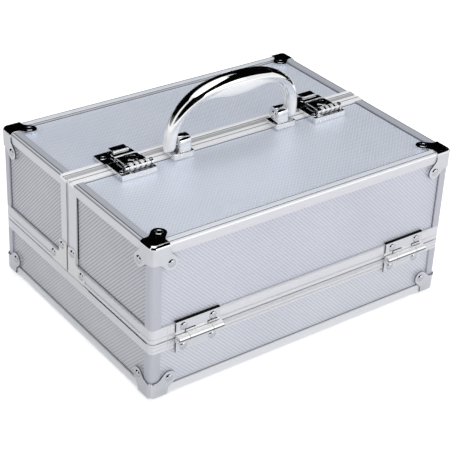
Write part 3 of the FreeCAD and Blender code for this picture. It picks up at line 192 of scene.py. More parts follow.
def rail_place(tree):
    """The point, its Y and Z, its distances in from the ends and long walls, and which rail it is on."""
    point = add(tree, "TexCoord", out="Object")
    x, y, z = add(tree, "SeparateXYZ", (point,), None)
    inward = []
    for along, outside in ((x, RAIL_END), (y, RAIL_FACE)):
        apart = add(tree, "Math", (along,), operation="ABSOLUTE")
        inward.append(add(tree, "Math", (outside * MM, apart), operation="SUBTRACT"))
    is_end = add(tree, "Math", inward, operation="LESS_THAN")
    is_long = add(tree, "Math", (1.0, is_end), operation="SUBTRACT")
    return point, y, z, *inward, is_end, is_long


def groove(tree, along, at, half=GROOVE_HALF, depth=1.0):
    """A groove at a distance in millimetres: full depth on its floor, 0 at its edges."""
    apart = add(tree, "Math", (along, at * MM), operation="SUBTRACT")
    apart = add(tree, "Math", (apart,), operation="ABSOLUTE")
    return add(tree, "MapRange", (apart, GROOVE_FLOOR * half * MM, half * MM, depth, 0.0))


print("rails:", 2 * RAIL_END, "by", 2 * RAIL_FACE, "mm, grooves", 2 * GROOVE_HALF, "mm wide")

# %% [markdown]
# ## Painted light on the rail tops
# The tops of the rails have a painted tone of their own, darker inwards on the end rails, and a painted line along the
# nose.
# These tones could be separate strips; blends by height and by distance keep one finish over the rail.

# %% Painted light on the rail tops
# Where the painted top tone, its darker inner part on the end rails and the painted nose line lie.
PAINTED_TOP_Z, NOSE_Z, NOSE_HALF, INNER_SHADE_STOP = (120.5 * MM, 120.9 * MM), 120.2, 0.6, (2.2 * MM, 2.4 * MM)


def painted_top_light(tree, colour, z, to_end, is_end):
    """Painted light on the top of a rail, darker inwards on the end rails, and a painted line along its nose."""
    inner = add(tree, "MapRange", (to_end, *INNER_SHADE_STOP, 0.0, 1.0))
    end_tone = add(tree, "Mix", {FACTOR: inner, FIRST: linear("#DADCE1"), SECOND: linear("#BABDC6")}, BLEND,
                   data_type="RGBA")
    top_tone = add(tree, "Mix", {FACTOR: is_end, FIRST: linear("#E6E9F0"), SECOND: end_tone}, BLEND, data_type="RGBA")
    nose_tone = add(tree, "Mix", {FACTOR: is_end, FIRST: linear("#FFFFFF"), SECOND: linear("#8E9096")}, BLEND,
                    data_type="RGBA")
    on_top = add(tree, "MapRange", (z, *PAINTED_TOP_Z, 0.0, 1.0))
    colour = add(tree, "Mix", {FACTOR: on_top, FIRST: colour, SECOND: top_tone}, BLEND, data_type="RGBA")
    on_nose = groove(tree, z, NOSE_Z, NOSE_HALF)
    return add(tree, "Mix", {FACTOR: on_nose, FIRST: colour, SECOND: nose_tone}, BLEND, data_type="RGBA")


print("rails buffed above", round(PAINTED_TOP_Z[0] / MM, 1), "mm, nose at", NOSE_Z, "mm")

# %% [markdown]
# ## Satin anodised rails
# Anodising keeps the metal's gloss and softens it. The die lines stretch each highlight across the rail, which the
# shader's anisotropy does with a tangent square to the lines. It could be left out, but then a rail looks painted.
# Die lines are so fine that they blend into this satin; their noise adds only a slight streak.

# %% Satin anodised rails
DIE_LINE = 0.286 * MM  # coarser than real die lines, so that a close view shows them
DIE_STRETCH = {"ring": (0.03, 0.03, 1), "split": (0.02, 1, 0.02), "post": (1, 1, 0.02)}
DIE_ACROSS = {"split": (0.0, 1.0, 0.0), "post": (1.0, 1.0, 0.0)}
RAIL_ROUGH, RAIL_GLOSS, RAIL_BUMP, RAIL_RELIEF, LINE_RELIEF = (0.28, 0.38), 0.85, 0.5, 0.25 * MM, 0.15
SPLIT_TOP, UPRIGHT_Z = (119.5 * MM, 120.5 * MM), (117.5 * MM, 119.5 * MM)
# GROOVE_SHADE is painted shade in the grooves; LONG_SHOWN sets how much of it shows on the long walls.
LONG_SHOWN, GROOVE_SHADE = 0.2, "#404247"


def extruded(name, kind, light, dark, metal=0.6, grooves=(), end_shown=0.3, painted_top=False, upright=None):
    """Satin anodised aluminium; a groove is told by what it is measured from, its place, half width and depth."""
    material, tree = new_material(name)
    point, y, z, to_end, to_long, is_end, is_long = rail_place(tree)
    stretched = add(tree, "VectorMath", (point, DIE_STRETCH[kind]), operation="MULTIPLY")
    lines = add(tree, "TexNoise", {"Vector": stretched, "Scale": 1 / DIE_LINE, "Detail": 2.0})
    colour = add(tree, "Mix", {FACTOR: lines, FIRST: linear(dark), SECOND: linear(light)}, BLEND, data_type="RGBA")
    if painted_top:
        colour = painted_top_light(tree, colour, z, to_end, is_end)
    # Upright faces below the rail top blend to the upright colour: painted shade on the sides.
    if upright:
        below = add(tree, "MapRange", (z, *UPRIGHT_Z, 1.0, 0.0))
        colour = add(tree, "Mix", {FACTOR: below, FIRST: colour, SECOND: linear(upright)}, BLEND, data_type="RGBA")
    height = add(tree, "Math", (lines, LINE_RELIEF), operation="MULTIPLY")
    # Each groove is a dark mark of painted shade, and a dip in the bump.
    for measure, at, *size in grooves:
        if measure == "height":
            along, shown = z, add(tree, "MapRange", (is_end, 0.0, 1.0, LONG_SHOWN, end_shown))
        elif measure == "split":
            along, shown = y, add(tree, "MapRange", (z, *SPLIT_TOP, 0.0, 1.0))
        else:
            along, shown = (to_end, is_end) if measure == "end" else (to_long, is_long)
        mark = add(tree, "Math", (groove(tree, along, at, *size), shown), operation="MULTIPLY")
        colour = add(tree, "Mix", {FACTOR: mark, FIRST: colour, SECOND: linear(GROOVE_SHADE)}, BLEND,
                     data_type="RGBA")
        height = add(tree, "Math", (height, mark), operation="SUBTRACT")
    across = add(tree, "CombineXYZ", DIE_ACROSS.get(kind, (is_end, is_long, 1.0)))
    shader = add(tree, "BsdfPrincipled", {
        "Base Color": colour, "Metallic": metal, "Anisotropic": RAIL_GLOSS, "Tangent": across,
        "Roughness": add(tree, "MapRange", (lines, *NOISE_RANGE, *RAIL_ROUGH)),
        "Normal": add(tree, "Bump", {"Height": height, "Strength": RAIL_BUMP, "Distance": RAIL_RELIEF})})
    add(tree, "OutputMaterial", {"Surface": shader}, None)
    return material


print("die lines:", round(DIE_LINE / MM, 3), "mm apart")

# %% [markdown]
# ## A finish for each rail
# All rails are the same alloy in the same bath, but each shows other faces and has other grooves, and each is painted a
# lighter or darker tone for how light falls on its faces.
# One finish could serve them all; a finish for each keeps its grooves and its tone in one line.

# %% A finish for each rail
# Anodised, with a painted soft white gleam on top between two grooves of painted shade.
top_rail_finish = extruded("anodised_aluminium_top_rails", "ring", "#E4E5EA", "#CFD0D6", 0.2,
                           (("long", 2.5), ("long", 7.4), ("end", 2.3)), painted_top=True)
# Anodised bands at the parting: pale satin, with faint grooves of painted shade that follow the wall.
lid_band_finish = extruded("anodised_aluminium_lid_band", "ring", "#F2F2F4", "#E0E0E4", grooves=(("height", 50.0),))
base_band_finish = extruded("anodised_aluminium_base_band", "ring", "#F2F2F4", "#E0E0E4",
                            grooves=(("height", 43.6), ("height", 40.6)), end_shown=0.0)
# Anodised rails round the foot: plain, and painted nearly white for the light that the white floor throws on them.
bottom_rail_finish = extruded("anodised_aluminium_bottom_rails", "ring", "#F8F8FA", "#E8E9EC")
# Anodised rails of the split: painted as the brightest strip of the top, with three grooves of painted shade along it.
split_rail_finish = extruded("anodised_aluminium_split_rails", "split", "#FFFFFF", "#F0F0F4", 0.15,
                             (("split", 3.0, 0.7, 0.9), ("split", 8.7, 2.6, 0.55), ("split", 12.0, 0.7, 0.9)),
                             upright="#D8D9DE")
# Anodised posts at the corners: satin grey, with die lines that run up and down.
post_finish = extruded("anodised_aluminium_posts", "post", "#D6D7DE", "#C0C1CA")

# %% [markdown]
# ## Plated metal
# Caps, plates, hinges and latches are pressed from sheet steel, then plated with chrome or nickel. The brackets are
# cast and polished. A perfect mirror would look drawn, so noise gives the plate soft clouds of gloss and the faint
# waviness of pressed sheet. Satin nickel mirrors less of the room: it is rougher and less metallic.

# %% Plated metal
PLATE_CLOUD, PLATE_WAVE = 8.33 * MM, 0.3 * MM
PLATE_GRAIN = 1.43 * MM  # polishing marks are finer than a pixel; drawn as coarse as they need to show
PLATE_RANGE = 0.35, 0.7


def plated(name, light, dark, rough, wave, metal=1.0):
    """Plate with roughness in soft clouds, over a slightly wavy sheet."""
    material, tree = new_material(name)
    point = add(tree, "TexCoord", out="Object")
    cloud = add(tree, "TexNoise", {"Vector": point, "Scale": 1 / PLATE_CLOUD, "Detail": 3.0})
    grain = add(tree, "TexNoise", {"Vector": point, "Scale": 1 / PLATE_GRAIN, "Detail": 3.0})
    colour = add(tree, "Mix", {FACTOR: cloud, FIRST: linear(dark), SECOND: linear(light)}, BLEND, data_type="RGBA")
    shader = add(tree, "BsdfPrincipled", {
        "Base Color": colour, "Metallic": metal,
        "Roughness": add(tree, "MapRange", (grain, *PLATE_RANGE, *rough)),
        "Normal": add(tree, "Bump", {"Height": cloud, "Strength": wave, "Distance": PLATE_WAVE})})
    add(tree, "OutputMaterial", {"Surface": shader}, None)
    return material


# Pressed and chrome plated: a mirror whose reflections waver a little.
chrome = plated("chrome_plate_pressed_sheet", "#F1F2F4", "#E2E3E6", (0.03, 0.09), 0.15)
# Cast, polished and chrome plated: a steadier mirror, with sharper black and white.
cast_chrome = plated("chrome_plate_polished_casting", "#F3F3F4", "#E6E7E9", (0.02, 0.06), 0.05)
# Satin nickel, painted white on small edges, collars and fronts: painted highlights, so that they read as bright lines.
painted_white_nickel = plated("nickel_plate_painted_white", "#F8F8FA", "#F0F1F3", (0.24, 0.28), 0.01, 0.45)
# Nickel on rivet heads: a soft mirror with a light and a dark side.
rivet_nickel = plated("nickel_plate_rivet_heads", "#DEDFE3", "#D0D1D6", (0.1, 0.16), 0.03)
# Satin nickel on the corner plates: an even pale grey with no clear reflection.
satin_plate = plated("nickel_plate_satin_corner_plates", "#E6E5E4", "#DCDBDA", (0.3, 0.36), 0.01, 0.35)
# Zinc on the steel strip inside: dull and grey, with a broken gleam.
zinc = plated("zinc_plated_steel_strip", "#C9CACC", "#A9AAAE", (0.22, 0.4), 0.1)

# %% [markdown]
# ## Rolled hinges
# A butterfly hinge is two nickel plated leaves, rolled round a pin. The leaves stay brushed, while the roll has a
# painted highlight above and a painted dark line of shade below. The three could be separate materials on
# separate faces; heights on one material keep the solids of the CAD as they are.

# %% Rolled hinges
# Where the painted highlight on the roll and the painted shade line under it lie.
KNUCKLE_Y, HINGE_SHADE_LINE, HINGE_SHADE_HALF = (100.1 * MM, 100.5 * MM), 46.35, 0.6
HIGHLIGHT_LOW, HIGHLIGHT_LEAF, HIGHLIGHT_HIGH = (46.6 * MM, 46.9 * MM), (48.4 * MM, 48.6 * MM), (50.3 * MM, 50.5 * MM)
BRUSH_LINE = 1.11 * MM  # real brush lines are finer than a pixel; drawn as coarse as they need to show
BRUSH_STRETCH, HINGE_ROUGH, HINGE_METAL = (0.05, 1, 1), (0.34, 0.22), 0.35


def rolled_hinge(name):
    """Satin nickel: brushed leaves, and a roll with a painted highlight on its upper side and a painted shade line
    below.
    """
    material, tree = new_material(name)
    point = add(tree, "TexCoord", out="Object")
    _, y, z = add(tree, "SeparateXYZ", (point,), None)
    outward = add(tree, "Math", (y,), operation="ABSOLUTE")
    on_knuckle = add(tree, "MapRange", (outward, *KNUCKLE_Y, 0.0, 1.0))
    above = add(tree, "MapRange", (z, *HIGHLIGHT_LOW, 0.0, 1.0))
    below = add(tree, "MapRange", (z, *HIGHLIGHT_HIGH, 1.0, 0.0))
    reached = add(tree, "MapRange", (z, *HIGHLIGHT_LEAF, on_knuckle, 1.0))
    lit = add(tree, "Math", (above, below), operation="MULTIPLY")
    shine = add(tree, "Math", (lit, reached), operation="MULTIPLY")
    shade_line = groove(tree, z, HINGE_SHADE_LINE, HINGE_SHADE_HALF)
    shade_line = add(tree, "Math", (on_knuckle, shade_line), operation="MULTIPLY")
    stretched = add(tree, "VectorMath", (point, BRUSH_STRETCH), operation="MULTIPLY")
    lines = add(tree, "TexNoise", {"Vector": stretched, "Scale": 1 / BRUSH_LINE, "Detail": 2.0})
    colour = add(tree, "Mix", {FACTOR: lines, FIRST: linear("#D2D3D9"), SECOND: linear("#E2E3E8")}, BLEND,
                 data_type="RGBA")
    for share, tone in ((shine, "#FFFFFF"), (shade_line, "#101012")):
        colour = add(tree, "Mix", {FACTOR: share, FIRST: colour, SECOND: linear(tone)}, BLEND, data_type="RGBA")
    shader = add(tree, "BsdfPrincipled", {
        "Base Color": colour, "Metallic": HINGE_METAL,
        "Roughness": add(tree, "MapRange", (shine, 0.0, 1.0, *HINGE_ROUGH))})
    add(tree, "OutputMaterial", {"Surface": shader}, None)
    return material


# Brushed nickel: grey leaves, a roll with a painted white highlight, and a painted black line of shade under it.
hinge_nickel = rolled_hinge("nickel_plate_rolled_hinges")

# %% [markdown]
# ## Inside finishes
# The trays are moulded in black plastic whose tool was spark eroded, which leaves a fine grain. The lining is sheet
# with short flocked fibres. Matt strips in grey and black paint the shade in the seams where a panel enters its rail,
# and in the gaps.
# Grain and pile could be real relief, but they are too small to see as such, so noise gives both bump and tone.

# %% Moulded plastic, and painted shade for seams and gaps
GRAIN, GRAIN_DEPTH, GRAIN_BUMP, GRAIN_ROUGH = 0.385 * MM, 0.1 * MM, 0.35, 0.17
PLAIN_SPECULAR, DEEP_SPECULAR = 0.5, 0.12


def moulded(name, light, dark, rough, specular=PLAIN_SPECULAR):
    """A matt moulded material; its grain is finer than a pixel and shows only as a soft mottle."""
    material, tree = new_material(name)
    point = add(tree, "TexCoord", out="Object")
    grain = add(tree, "TexNoise", {"Vector": point, "Scale": 1 / GRAIN, "Detail": 2.0})
    colour = add(tree, "Mix", {FACTOR: grain, FIRST: linear(dark), SECOND: linear(light)}, BLEND, data_type="RGBA")
    shader = add(tree, "BsdfPrincipled", {
        "Base Color": colour, "Specular IOR Level": specular,
        "Roughness": add(tree, "MapRange", (grain, *NOISE_RANGE, rough, rough + GRAIN_ROUGH)),
        "Normal": add(tree, "Bump", {"Height": grain, "Strength": GRAIN_BUMP, "Distance": GRAIN_DEPTH})})
    add(tree, "OutputMaterial", {"Surface": shader}, None)
    return material


# Moulded plastic: black with a grey bloom where the grain scatters light.
tray_plastic = moulded("black_plastic_moulded_grain", "#34353A", "#222327", 0.45)
# Painted shade along a seam: matt lines, pale where light reaches in and dark elsewhere.
pale_painted_shade = moulded("pale_painted_shade_in_front_seams", "#B4B6BD", "#9C9EA6", 0.6)
grey_painted_shade = moulded("grey_painted_shade_in_seams", "#6A6C73", "#4C4E54", 0.6)
# Painted shade in the gaps: dull grey, and nearly black deep in a gap.
dark_grey_painted_shade = moulded("grey_painted_shade_under_caps", "#4C4D52", "#3A3B3F", 0.7)
black_painted_shade = moulded("black_painted_shade_in_gaps", "#0C0C0D", "#050506", 0.75, DEEP_SPECULAR)

# %% Flocked lining
PILE = 0.286 * MM  # coarser than real fibres, so that a close view shows the pile
PILE_DRIFT, PILE_DEPTH, PILE_BUMP = 16.7 * MM, 0.25 * MM, 0.8
PILE_TONE, DRIFT_TONE, FLOCK_ROUGH, FLOCK_SHEEN, SHEEN_ROUGH = 0.6, 0.4, 0.95, 0.4, 0.5


def flocked(name, light, dark):
    """Short dense pile with a soft sheen and a tone that drifts as if stroked."""
    material, tree = new_material(name)
    point = add(tree, "TexCoord", out="Object")
    pile = add(tree, "TexNoise", {"Vector": point, "Scale": 1 / PILE, "Detail": 4.0})
    drift = add(tree, "TexNoise", {"Vector": point, "Scale": 1 / PILE_DRIFT, "Detail": 3.0})
    drift = add(tree, "Math", (drift, DRIFT_TONE), operation="MULTIPLY")
    tone = add(tree, "Math", (pile, PILE_TONE, drift), operation="MULTIPLY_ADD")
    colour = add(tree, "Mix", {FACTOR: tone, FIRST: linear(dark), SECOND: linear(light)}, BLEND, data_type="RGBA")
    shader = add(tree, "BsdfPrincipled", {
        "Base Color": colour, "Roughness": FLOCK_ROUGH, "Sheen Weight": FLOCK_SHEEN, "Sheen Roughness": SHEEN_ROUGH,
        "Normal": add(tree, "Bump", {"Height": pile, "Strength": PILE_BUMP, "Distance": PILE_DEPTH})})
    add(tree, "OutputMaterial", {"Surface": shader}, None)
    return material


# Flock: a deep soft black that greys at a glancing angle.
lining = flocked("black_flocked_lining", "#2A2A2E", "#151518")

# %% [markdown]
# ## Finishes on the CAD nodes
# A node's name says what it is made of, so the name picks the finish.
# The solids have sharp edges, and no real edge is sharp. Their meshes could be rebuilt with rounds; modifiers do it
# without touching them, and break each edge by a fraction of a millimetre, so that it catches a thin line of light.

# %% Finishes by name
RAIL_FINISHES = {"top_rails": top_rail_finish, "split_rails": split_rail_finish, "posts": post_finish,
                 "base_top_rail": base_band_finish, "base_bottom_rails": bottom_rail_finish,
                 "lid_bottom_rail": lid_band_finish}


def panel_finish(node):
    """The film of a panel, by the wall that it faces."""
    if node.startswith("base") and "floor" not in node:
        return laminate_base_end if "end" in node else laminate_base_long
    if "end" in node:
        return laminate_end
    return laminate_top if "top" in node or "floor" in node else laminate_long


def finish_of(node):
    """The finish of a CAD node, by its name."""
    for ending, material in RAIL_FINISHES.items():
        if node.endswith(ending):
            return material
    if "liner" in node:
        return lining
    if node.endswith("_tray"):
        return tray_plastic
    if "panel" in node:
        return panel_finish(node)
    if "arm" in node or "tray_pins" in node:
        return zinc
    if node.endswith("leaves"):
        return hinge_nickel
    if node.endswith("corner_plates"):
        return satin_plate
    return cast_chrome if "bail" in node or "bracket" in node else chrome


for name, piece in nodes.items():
    piece.data.materials.clear()
    piece.data.materials.append(finish_of(name))
print("finishes on nodes:", len({finish_of(name).name for name in nodes}))

# %% Broken edges
WELD_GAP, FLAT_ANGLE, EDGE_ANGLE, EDGE_STEPS = 1e-6, math.radians(0.5), math.radians(40), 2
EDGE_BREAKS = {"caps": 0.35, "plates": 0.3, "keepers": 0.35, "lever": 0.4, "brackets": 0.6, "leaves": 0.25}
PLAIN_BREAK = 0.2


def soften(piece, width):
    """Clean flat faces, a small bevel on the hard edges, and normals that follow the large faces."""
    weld = piece.modifiers.new("weld", "WELD")
    weld.merge_threshold = WELD_GAP
    flat = piece.modifiers.new("flat", "DECIMATE")
    flat.decimate_type = "DISSOLVE"
    flat.angle_limit = FLAT_ANGLE
    bevel = piece.modifiers.new("bevel", "BEVEL")
    bevel.width = width
    bevel.segments = EDGE_STEPS
    bevel.limit_method = "ANGLE"
    bevel.angle_limit = EDGE_ANGLE
    bevel.use_clamp_overlap = True
    weighted = piece.modifiers.new("weighted", "WEIGHTED_NORMAL")
    weighted.keep_sharp = True


for name, piece in nodes.items():
    width = next((size for word, size in EDGE_BREAKS.items() if word in name), PLAIN_BREAK)
    soften(piece, width * MM)
print("edges broken on", len(nodes), "nodes")

# %% [markdown]
# ## Pieces built here
# The finer metalwork is skinned from rings of points, as a boat is planked over its frames: a ring is a section, and
# the skin joins one to the next. Curves with a bevel could do some of it, but rings give exact ends and few faces.
# Each piece is smooth except at its hard edges, rides on a body and takes the finish it is given.

# %% From a bmesh to a piece
HARD_EDGE = math.radians(35)


def make(name, bm, body, material, slot, *replaced):
    """Turns a bmesh into a piece that rides on a body and may stand for CAD nodes."""
    bmesh.ops.recalc_face_normals(bm, faces=bm.faces)
    mesh = bpy.data.meshes.new(name)
    bm.to_mesh(mesh)
    bm.free()
    for polygon in mesh.polygons:
        polygon.use_smooth = True
    mesh.set_sharp_from_angle(angle=HARD_EDGE)
    mesh.materials.append(material)
    piece = bpy.data.objects.new(name, mesh)
    bpy.context.scene.collection.objects.link(piece)
    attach(piece, body)
    if replaced:
        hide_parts(*replaced)
    print("made:", name, "with", len(mesh.polygons), "faces on", body)


print("hard edges from", round(math.degrees(HARD_EDGE)), "degrees")

# %% Skins, strips and turned shapes
INLAY, INLAY_SLOPE = 0.1, 0.04
CORNERS = (0, 0), (1, 0), (1, 1), (0, 1)


def bridge(bm, low, high):
    """Faces between two rings of as many points."""
    count = len(low)
    for i in range(count):
        j = (i + 1) % count
        bm.faces.new((low[i], low[j], high[j], high[i]))


def skin(bm, rings):
    """Bridges rings of points in order and closes both ends."""
    rows = [[bm.verts.new(point) for point in ring] for ring in rings]
    for low, high in zip(rows, rows[1:]):
        bridge(bm, low, high)
    bm.faces.new(rows[0][::-1])
    bm.faces.new(rows[-1])


def on_plane(axis, height, spans, ends, inset):
    """A corner of a rectangle square to an axis, drawn in by an inset; ends pick the side of each span."""
    point = Vector((0, 0, 0))
    point[axis] = height
    others = [i for i in range(3) if i != axis]
    for other, span, end in zip(others, spans, ends):
        point[other] = span[end] + (-inset if end else inset)
    return point * MM


def raised(bm, axis, face, first, second, lift=INLAY, slope=INLAY_SLOPE):
    """A flat strip with sloped edges on a plane square to an axis; its spans lie along the other two."""
    skin(bm, [[on_plane(axis, face + math.copysign(rise, face), (first, second), ends, inset) for ends in CORNERS]
              for rise, inset in ((0, 0), (lift, slope))])


def turned(bm, profile, centre, outward, sides=24):
    """A turned shape: the profile lists radius and height in millimetres along the outward axis."""
    axis = Vector(outward).normalized()
    first = axis.orthogonal().normalized()
    second = axis.cross(first)
    turns = [2 * math.pi * i / sides for i in range(sides)]
    spokes = [first * math.cos(turn) + second * math.sin(turn) for turn in turns]
    skin(bm, [[(Vector(centre) + axis * height + spoke * radius) * MM for spoke in spokes]
              for radius, height in profile])


print("inlays:", INLAY, "mm high")

# %% [markdown]
# ## Handle
# The handle is a polished casting: slim legs that swell to a full grip. The CAD loft could stay, but chrome shows
# every facet, so it is skinned again from smooth sections on the same arch, with round feet at the pivots.
# The arch is a superellipse, which is squarer than a half circle, as a hand needs.

# %% Sections of the handle
PIVOT = Vector((3, -1, 129.6))
HALF_SPAN, RISE, LEAN = 58, 46.5, math.radians(6)
LEG_THICK, LEG_DEEP, GRIP_THICK, GRIP_DEEP = 8.6, 10, 18.5, 15
ARCH_POWER, GRIP_POWER, SECTION_POWER = 2.3, 11, 2.1
STATIONS, AROUND = 64, 32
FOOT_ANGLES, FOOT_TAPER = (84, 70, 55, 40, 25, 12), 0.25


def powered(value, power):
    """A power that keeps the sign."""
    return math.copysign(abs(value) ** power, value)


def section(centre, normal, thick, deep):
    """A rounded section: thick along the arch's normal and deep along Y."""
    points = []
    for i in range(AROUND):
        turn = 2 * math.pi * i / AROUND
        u = powered(math.cos(turn), 2 / SECTION_POWER) * thick / 2
        v = powered(math.sin(turn), 2 / SECTION_POWER) * deep / 2
        points.append(centre + normal * u + Vector((0, v, 0)))
    return points


def arch_section(angle):
    """A section of the arch; the angle runs from one foot, 0, to the other, pi."""
    sine, cosine = max(math.sin(angle), 0.0), math.cos(angle)
    thick = LEG_THICK + (GRIP_THICK - LEG_THICK) * sine ** GRIP_POWER
    deep = LEG_DEEP + (GRIP_DEEP - LEG_DEEP) * sine ** 2
    across, rise = powered(cosine, 2 / ARCH_POWER), sine ** (2 / ARCH_POWER)
    normal = Vector((powered(across, ARCH_POWER - 1) / HALF_SPAN, 0, rise ** (ARCH_POWER - 1) / RISE)).normalized()
    outside = Vector((across * HALF_SPAN, 0, rise * RISE))
    return section(outside - normal * (thick / 2), normal, thick, deep)


def foot_section(side, degrees):
    """A section of the round foot below a pivot."""
    angle = math.radians(degrees)
    centre = Vector((side * (HALF_SPAN - LEG_THICK / 2), 0, -LEG_DEEP / 2 * math.sin(angle)))
    soft = 1 - FOOT_TAPER * (degrees / 90) ** 3
    return section(centre, Vector((side, 0, 0)), LEG_THICK * soft, LEG_DEEP * math.cos(angle))


rings = [foot_section(1, degrees) for degrees in FOOT_ANGLES]
rings += [arch_section(math.pi * i / STATIONS) for i in range(STATIONS + 1)]
rings += [foot_section(-1, degrees) for degrees in reversed(FOOT_ANGLES)]
print("handle sections:", len(rings))

# %% [markdown]
# ## Handle casting
# The inner belly of the grip and the feet beside the brackets are painted white satin under the chrome, a painted
# reflection of the white floor. Two pieces could show this; a material that knows the arch blends from one to the
# other.

# %% Handle casting
BELLY, FOOT_SATIN = (0.66, 0.72), (10 * MM, 24 * MM)
HANDLE_METAL, HANDLE_ROUGH = (1.0, 0.3), (0.035, 0.25)


def handle_finish(name):
    """Chrome that is polished on the outer side of the arch, and white satin on its belly and feet: a painted
    reflection.
    """
    material, tree = new_material(name)
    point = add(tree, "TexCoord", out="Object")
    from_pivot = add(tree, "VectorMath", (point, PIVOT * MM), operation="SUBTRACT")
    across, _, rise = add(tree, "SeparateXYZ", (from_pivot,), None)
    across = add(tree, "Math", (across,), operation="ABSOLUTE")
    shares = []
    for reach, size in ((across, HALF_SPAN), (rise, RISE)):
        share = add(tree, "Math", (reach, size * MM), operation="DIVIDE")
        share = add(tree, "Math", (share, 0.0), operation="MAXIMUM")
        shares.append(add(tree, "Math", (share, ARCH_POWER), operation="POWER"))
    inside = add(tree, "MapRange", (add(tree, "Math", shares, operation="ADD"), *BELLY, 1.0, 0.0))
    low = add(tree, "MapRange", (rise, *FOOT_SATIN, 1.0, 0.0))
    satin = add(tree, "Math", (inside, low), operation="MAXIMUM")
    colour = add(tree, "Mix", {FACTOR: satin, FIRST: linear("#EEEFF0"), SECOND: linear("#FFFFFF")}, BLEND,
                 data_type="RGBA")
    shader = add(tree, "BsdfPrincipled", {
        "Base Color": colour,
        "Metallic": add(tree, "MapRange", (satin, 0.0, 1.0, *HANDLE_METAL)),
        "Roughness": add(tree, "MapRange", (satin, 0.0, 1.0, *HANDLE_ROUGH))})
    add(tree, "OutputMaterial", {"Surface": shader}, None)
    return material


# Chrome on a casting: a black and white mirror outside, and a belly painted soft white inside, a painted reflection.
handle_chrome = handle_finish("chrome_plate_handle_casting")
lean = Matrix.Rotation(LEAN, 3, "X")
bm = bmesh.new()
skin(bm, [[(lean @ point + PIVOT) * MM for point in ring] for ring in rings])
make("handle_casting", bm, "handle", handle_chrome, "chrome_plate", "handle_bail")

# %% [markdown]
# ## Rivets
# The fittings are riveted to the case: low domes with a thin collar on the walls, rolled eyelets on top.
# A subdivided cylinder could stand for them, but a profile that is turned round an axis follows the real head.
# They are set at the places of the CAD heads, one mesh for each body.

# %% Rivets
RIVET = [(3.0, 0), (3.0, 0.15), (2.6, 0.6), (2.1, 0.95), (1.6, 1.1), (0.3, 1.1)]
EYELET = [(3.0, 0), (3.0, 0.1), (2.8, 0.25), (2.4, 0.32), (2.1, 0.26), (1.95, 0.14), (1.8, 0.12), (0.2, 0.12)]
CASE_X, CASE_Y, CASE_TOP, PARTING, LID_LOW = 130, 100, 122, 46, 46.3
CAP_RIVET, HINGE_X, HINGE_SPREAD, HINGE_RISE = 15.4, 92, 11.8, 8
PLATE_RIVETS = (6.8, 19), (19, 6.8)
LIDS, SPLIT_EDGES = {"front_lid": -1, "back_lid": 1}, {"front_lid": 6.7, "back_lid": 7.3}


def hinge_rivets(way, z):
    """Places of the hinge rivets on the front (-1) or back (1) wall."""
    return [((side * HINGE_X + step * HINGE_SPREAD, way * CASE_Y, z), (0, way, 0))
            for side in (-1, 1) for step in (-1, 1)]


def cap_rivets(side, way, z):
    """Places of a corner cap's rivets on the long wall and the end wall."""
    return [((side * (CASE_X - CAP_RIVET), way * CASE_Y, z), (0, way, 0)),
            ((side * CASE_X, way * (CASE_Y - CAP_RIVET), z), (side, 0, 0))]


def rivets(name, body, places):
    """One mesh of rivet heads; those that face up are eyelets."""
    bm = bmesh.new()
    for centre, outward in places:
        turned(bm, EYELET if outward[2] else RIVET, centre, outward)
    make(name + "_heads", bm, body, rivet_nickel, "chrome_plate", name)


places = []
for way in (-1, 1):
    for side in (-1, 1):
        places += cap_rivets(side, way, CAP_RIVET)
    places += hinge_rivets(way, PARTING - HINGE_RISE)
rivets("base_rivets", "base", places)

for lid, way in LIDS.items():
    places = hinge_rivets(way, PARTING + HINGE_RISE)
    for side in (-1, 1):
        x, y = side * (CASE_X - CAP_RIVET), way * (CASE_Y - CAP_RIVET)
        places += [((x, y, CASE_TOP), (0, 0, 1)), *cap_rivets(side, way, CASE_TOP - CAP_RIVET)]
        places += [((side * CASE_X, SPLIT_EDGES[lid] + way * along, LID_LOW + high), (side, 0, 0))
                   for along, high in PLATE_RIVETS]
    rivets(f"{lid}_rivets", lid, places)

# %% [markdown]
# ## Seams
# Where a panel enters its rail there is a narrow seam that lies in shade. A dark line in the film's material could
# paint it, but a strip has a height and a shade of its own, so each seam's shade is painted as a mitred frame with a
# sloped section, laid on the panel.
# Seams that light falls into are pale, with a thin dark strip left on the side away from it.

# %% Seams
SEAM_WIDTHS, SEAM_HIGH, SEAM_BEND = (0.75, 0.45, 0.6), 0.3, 0.6
PANEL_X, PANEL_Y, PANEL_TOP = 127.5, 97.5, 119.5
INNER_X, INNER_Y = 121.2, 91.2
LID_SPAN, BASE_SPAN = (57.3, 113.2), (8.8, 38.1)
TOP_EDGES = {"front_lid": (-INNER_Y, -1.8), "back_lid": (15.8, INNER_Y)}
END_EDGES = {"front_lid": (-INNER_Y, -4.8), "back_lid": (15.8, INNER_Y)}
SHADE_LIFT, FAR_SHADE, END_SHADE, LONG_SHADE = 0.4, 0.35, 0.5, 0.3


def both_ways(span, way):
    """A span on the front or left (-1), or on the back or right (1)."""
    return sorted(way * edge for edge in span)


def seam(bm, axis, plane, way, first, second):
    """A frame on a panel: axis is the panel's normal, first and second are its spans along the other axes."""
    wide = SEAM_WIDTHS[axis]
    profile = (0, 0), (0, SEAM_HIGH), (SEAM_BEND * wide, SEAM_BEND * SEAM_HIGH), (wide, 0)
    loops = [[bm.verts.new(on_plane(axis, plane + way * lift, (first, second), ends, inset)) for ends in CORNERS]
             for inset, lift in profile]
    for low, high in zip(loops, loops[1:] + loops[:1]):
        bridge(bm, low, high)


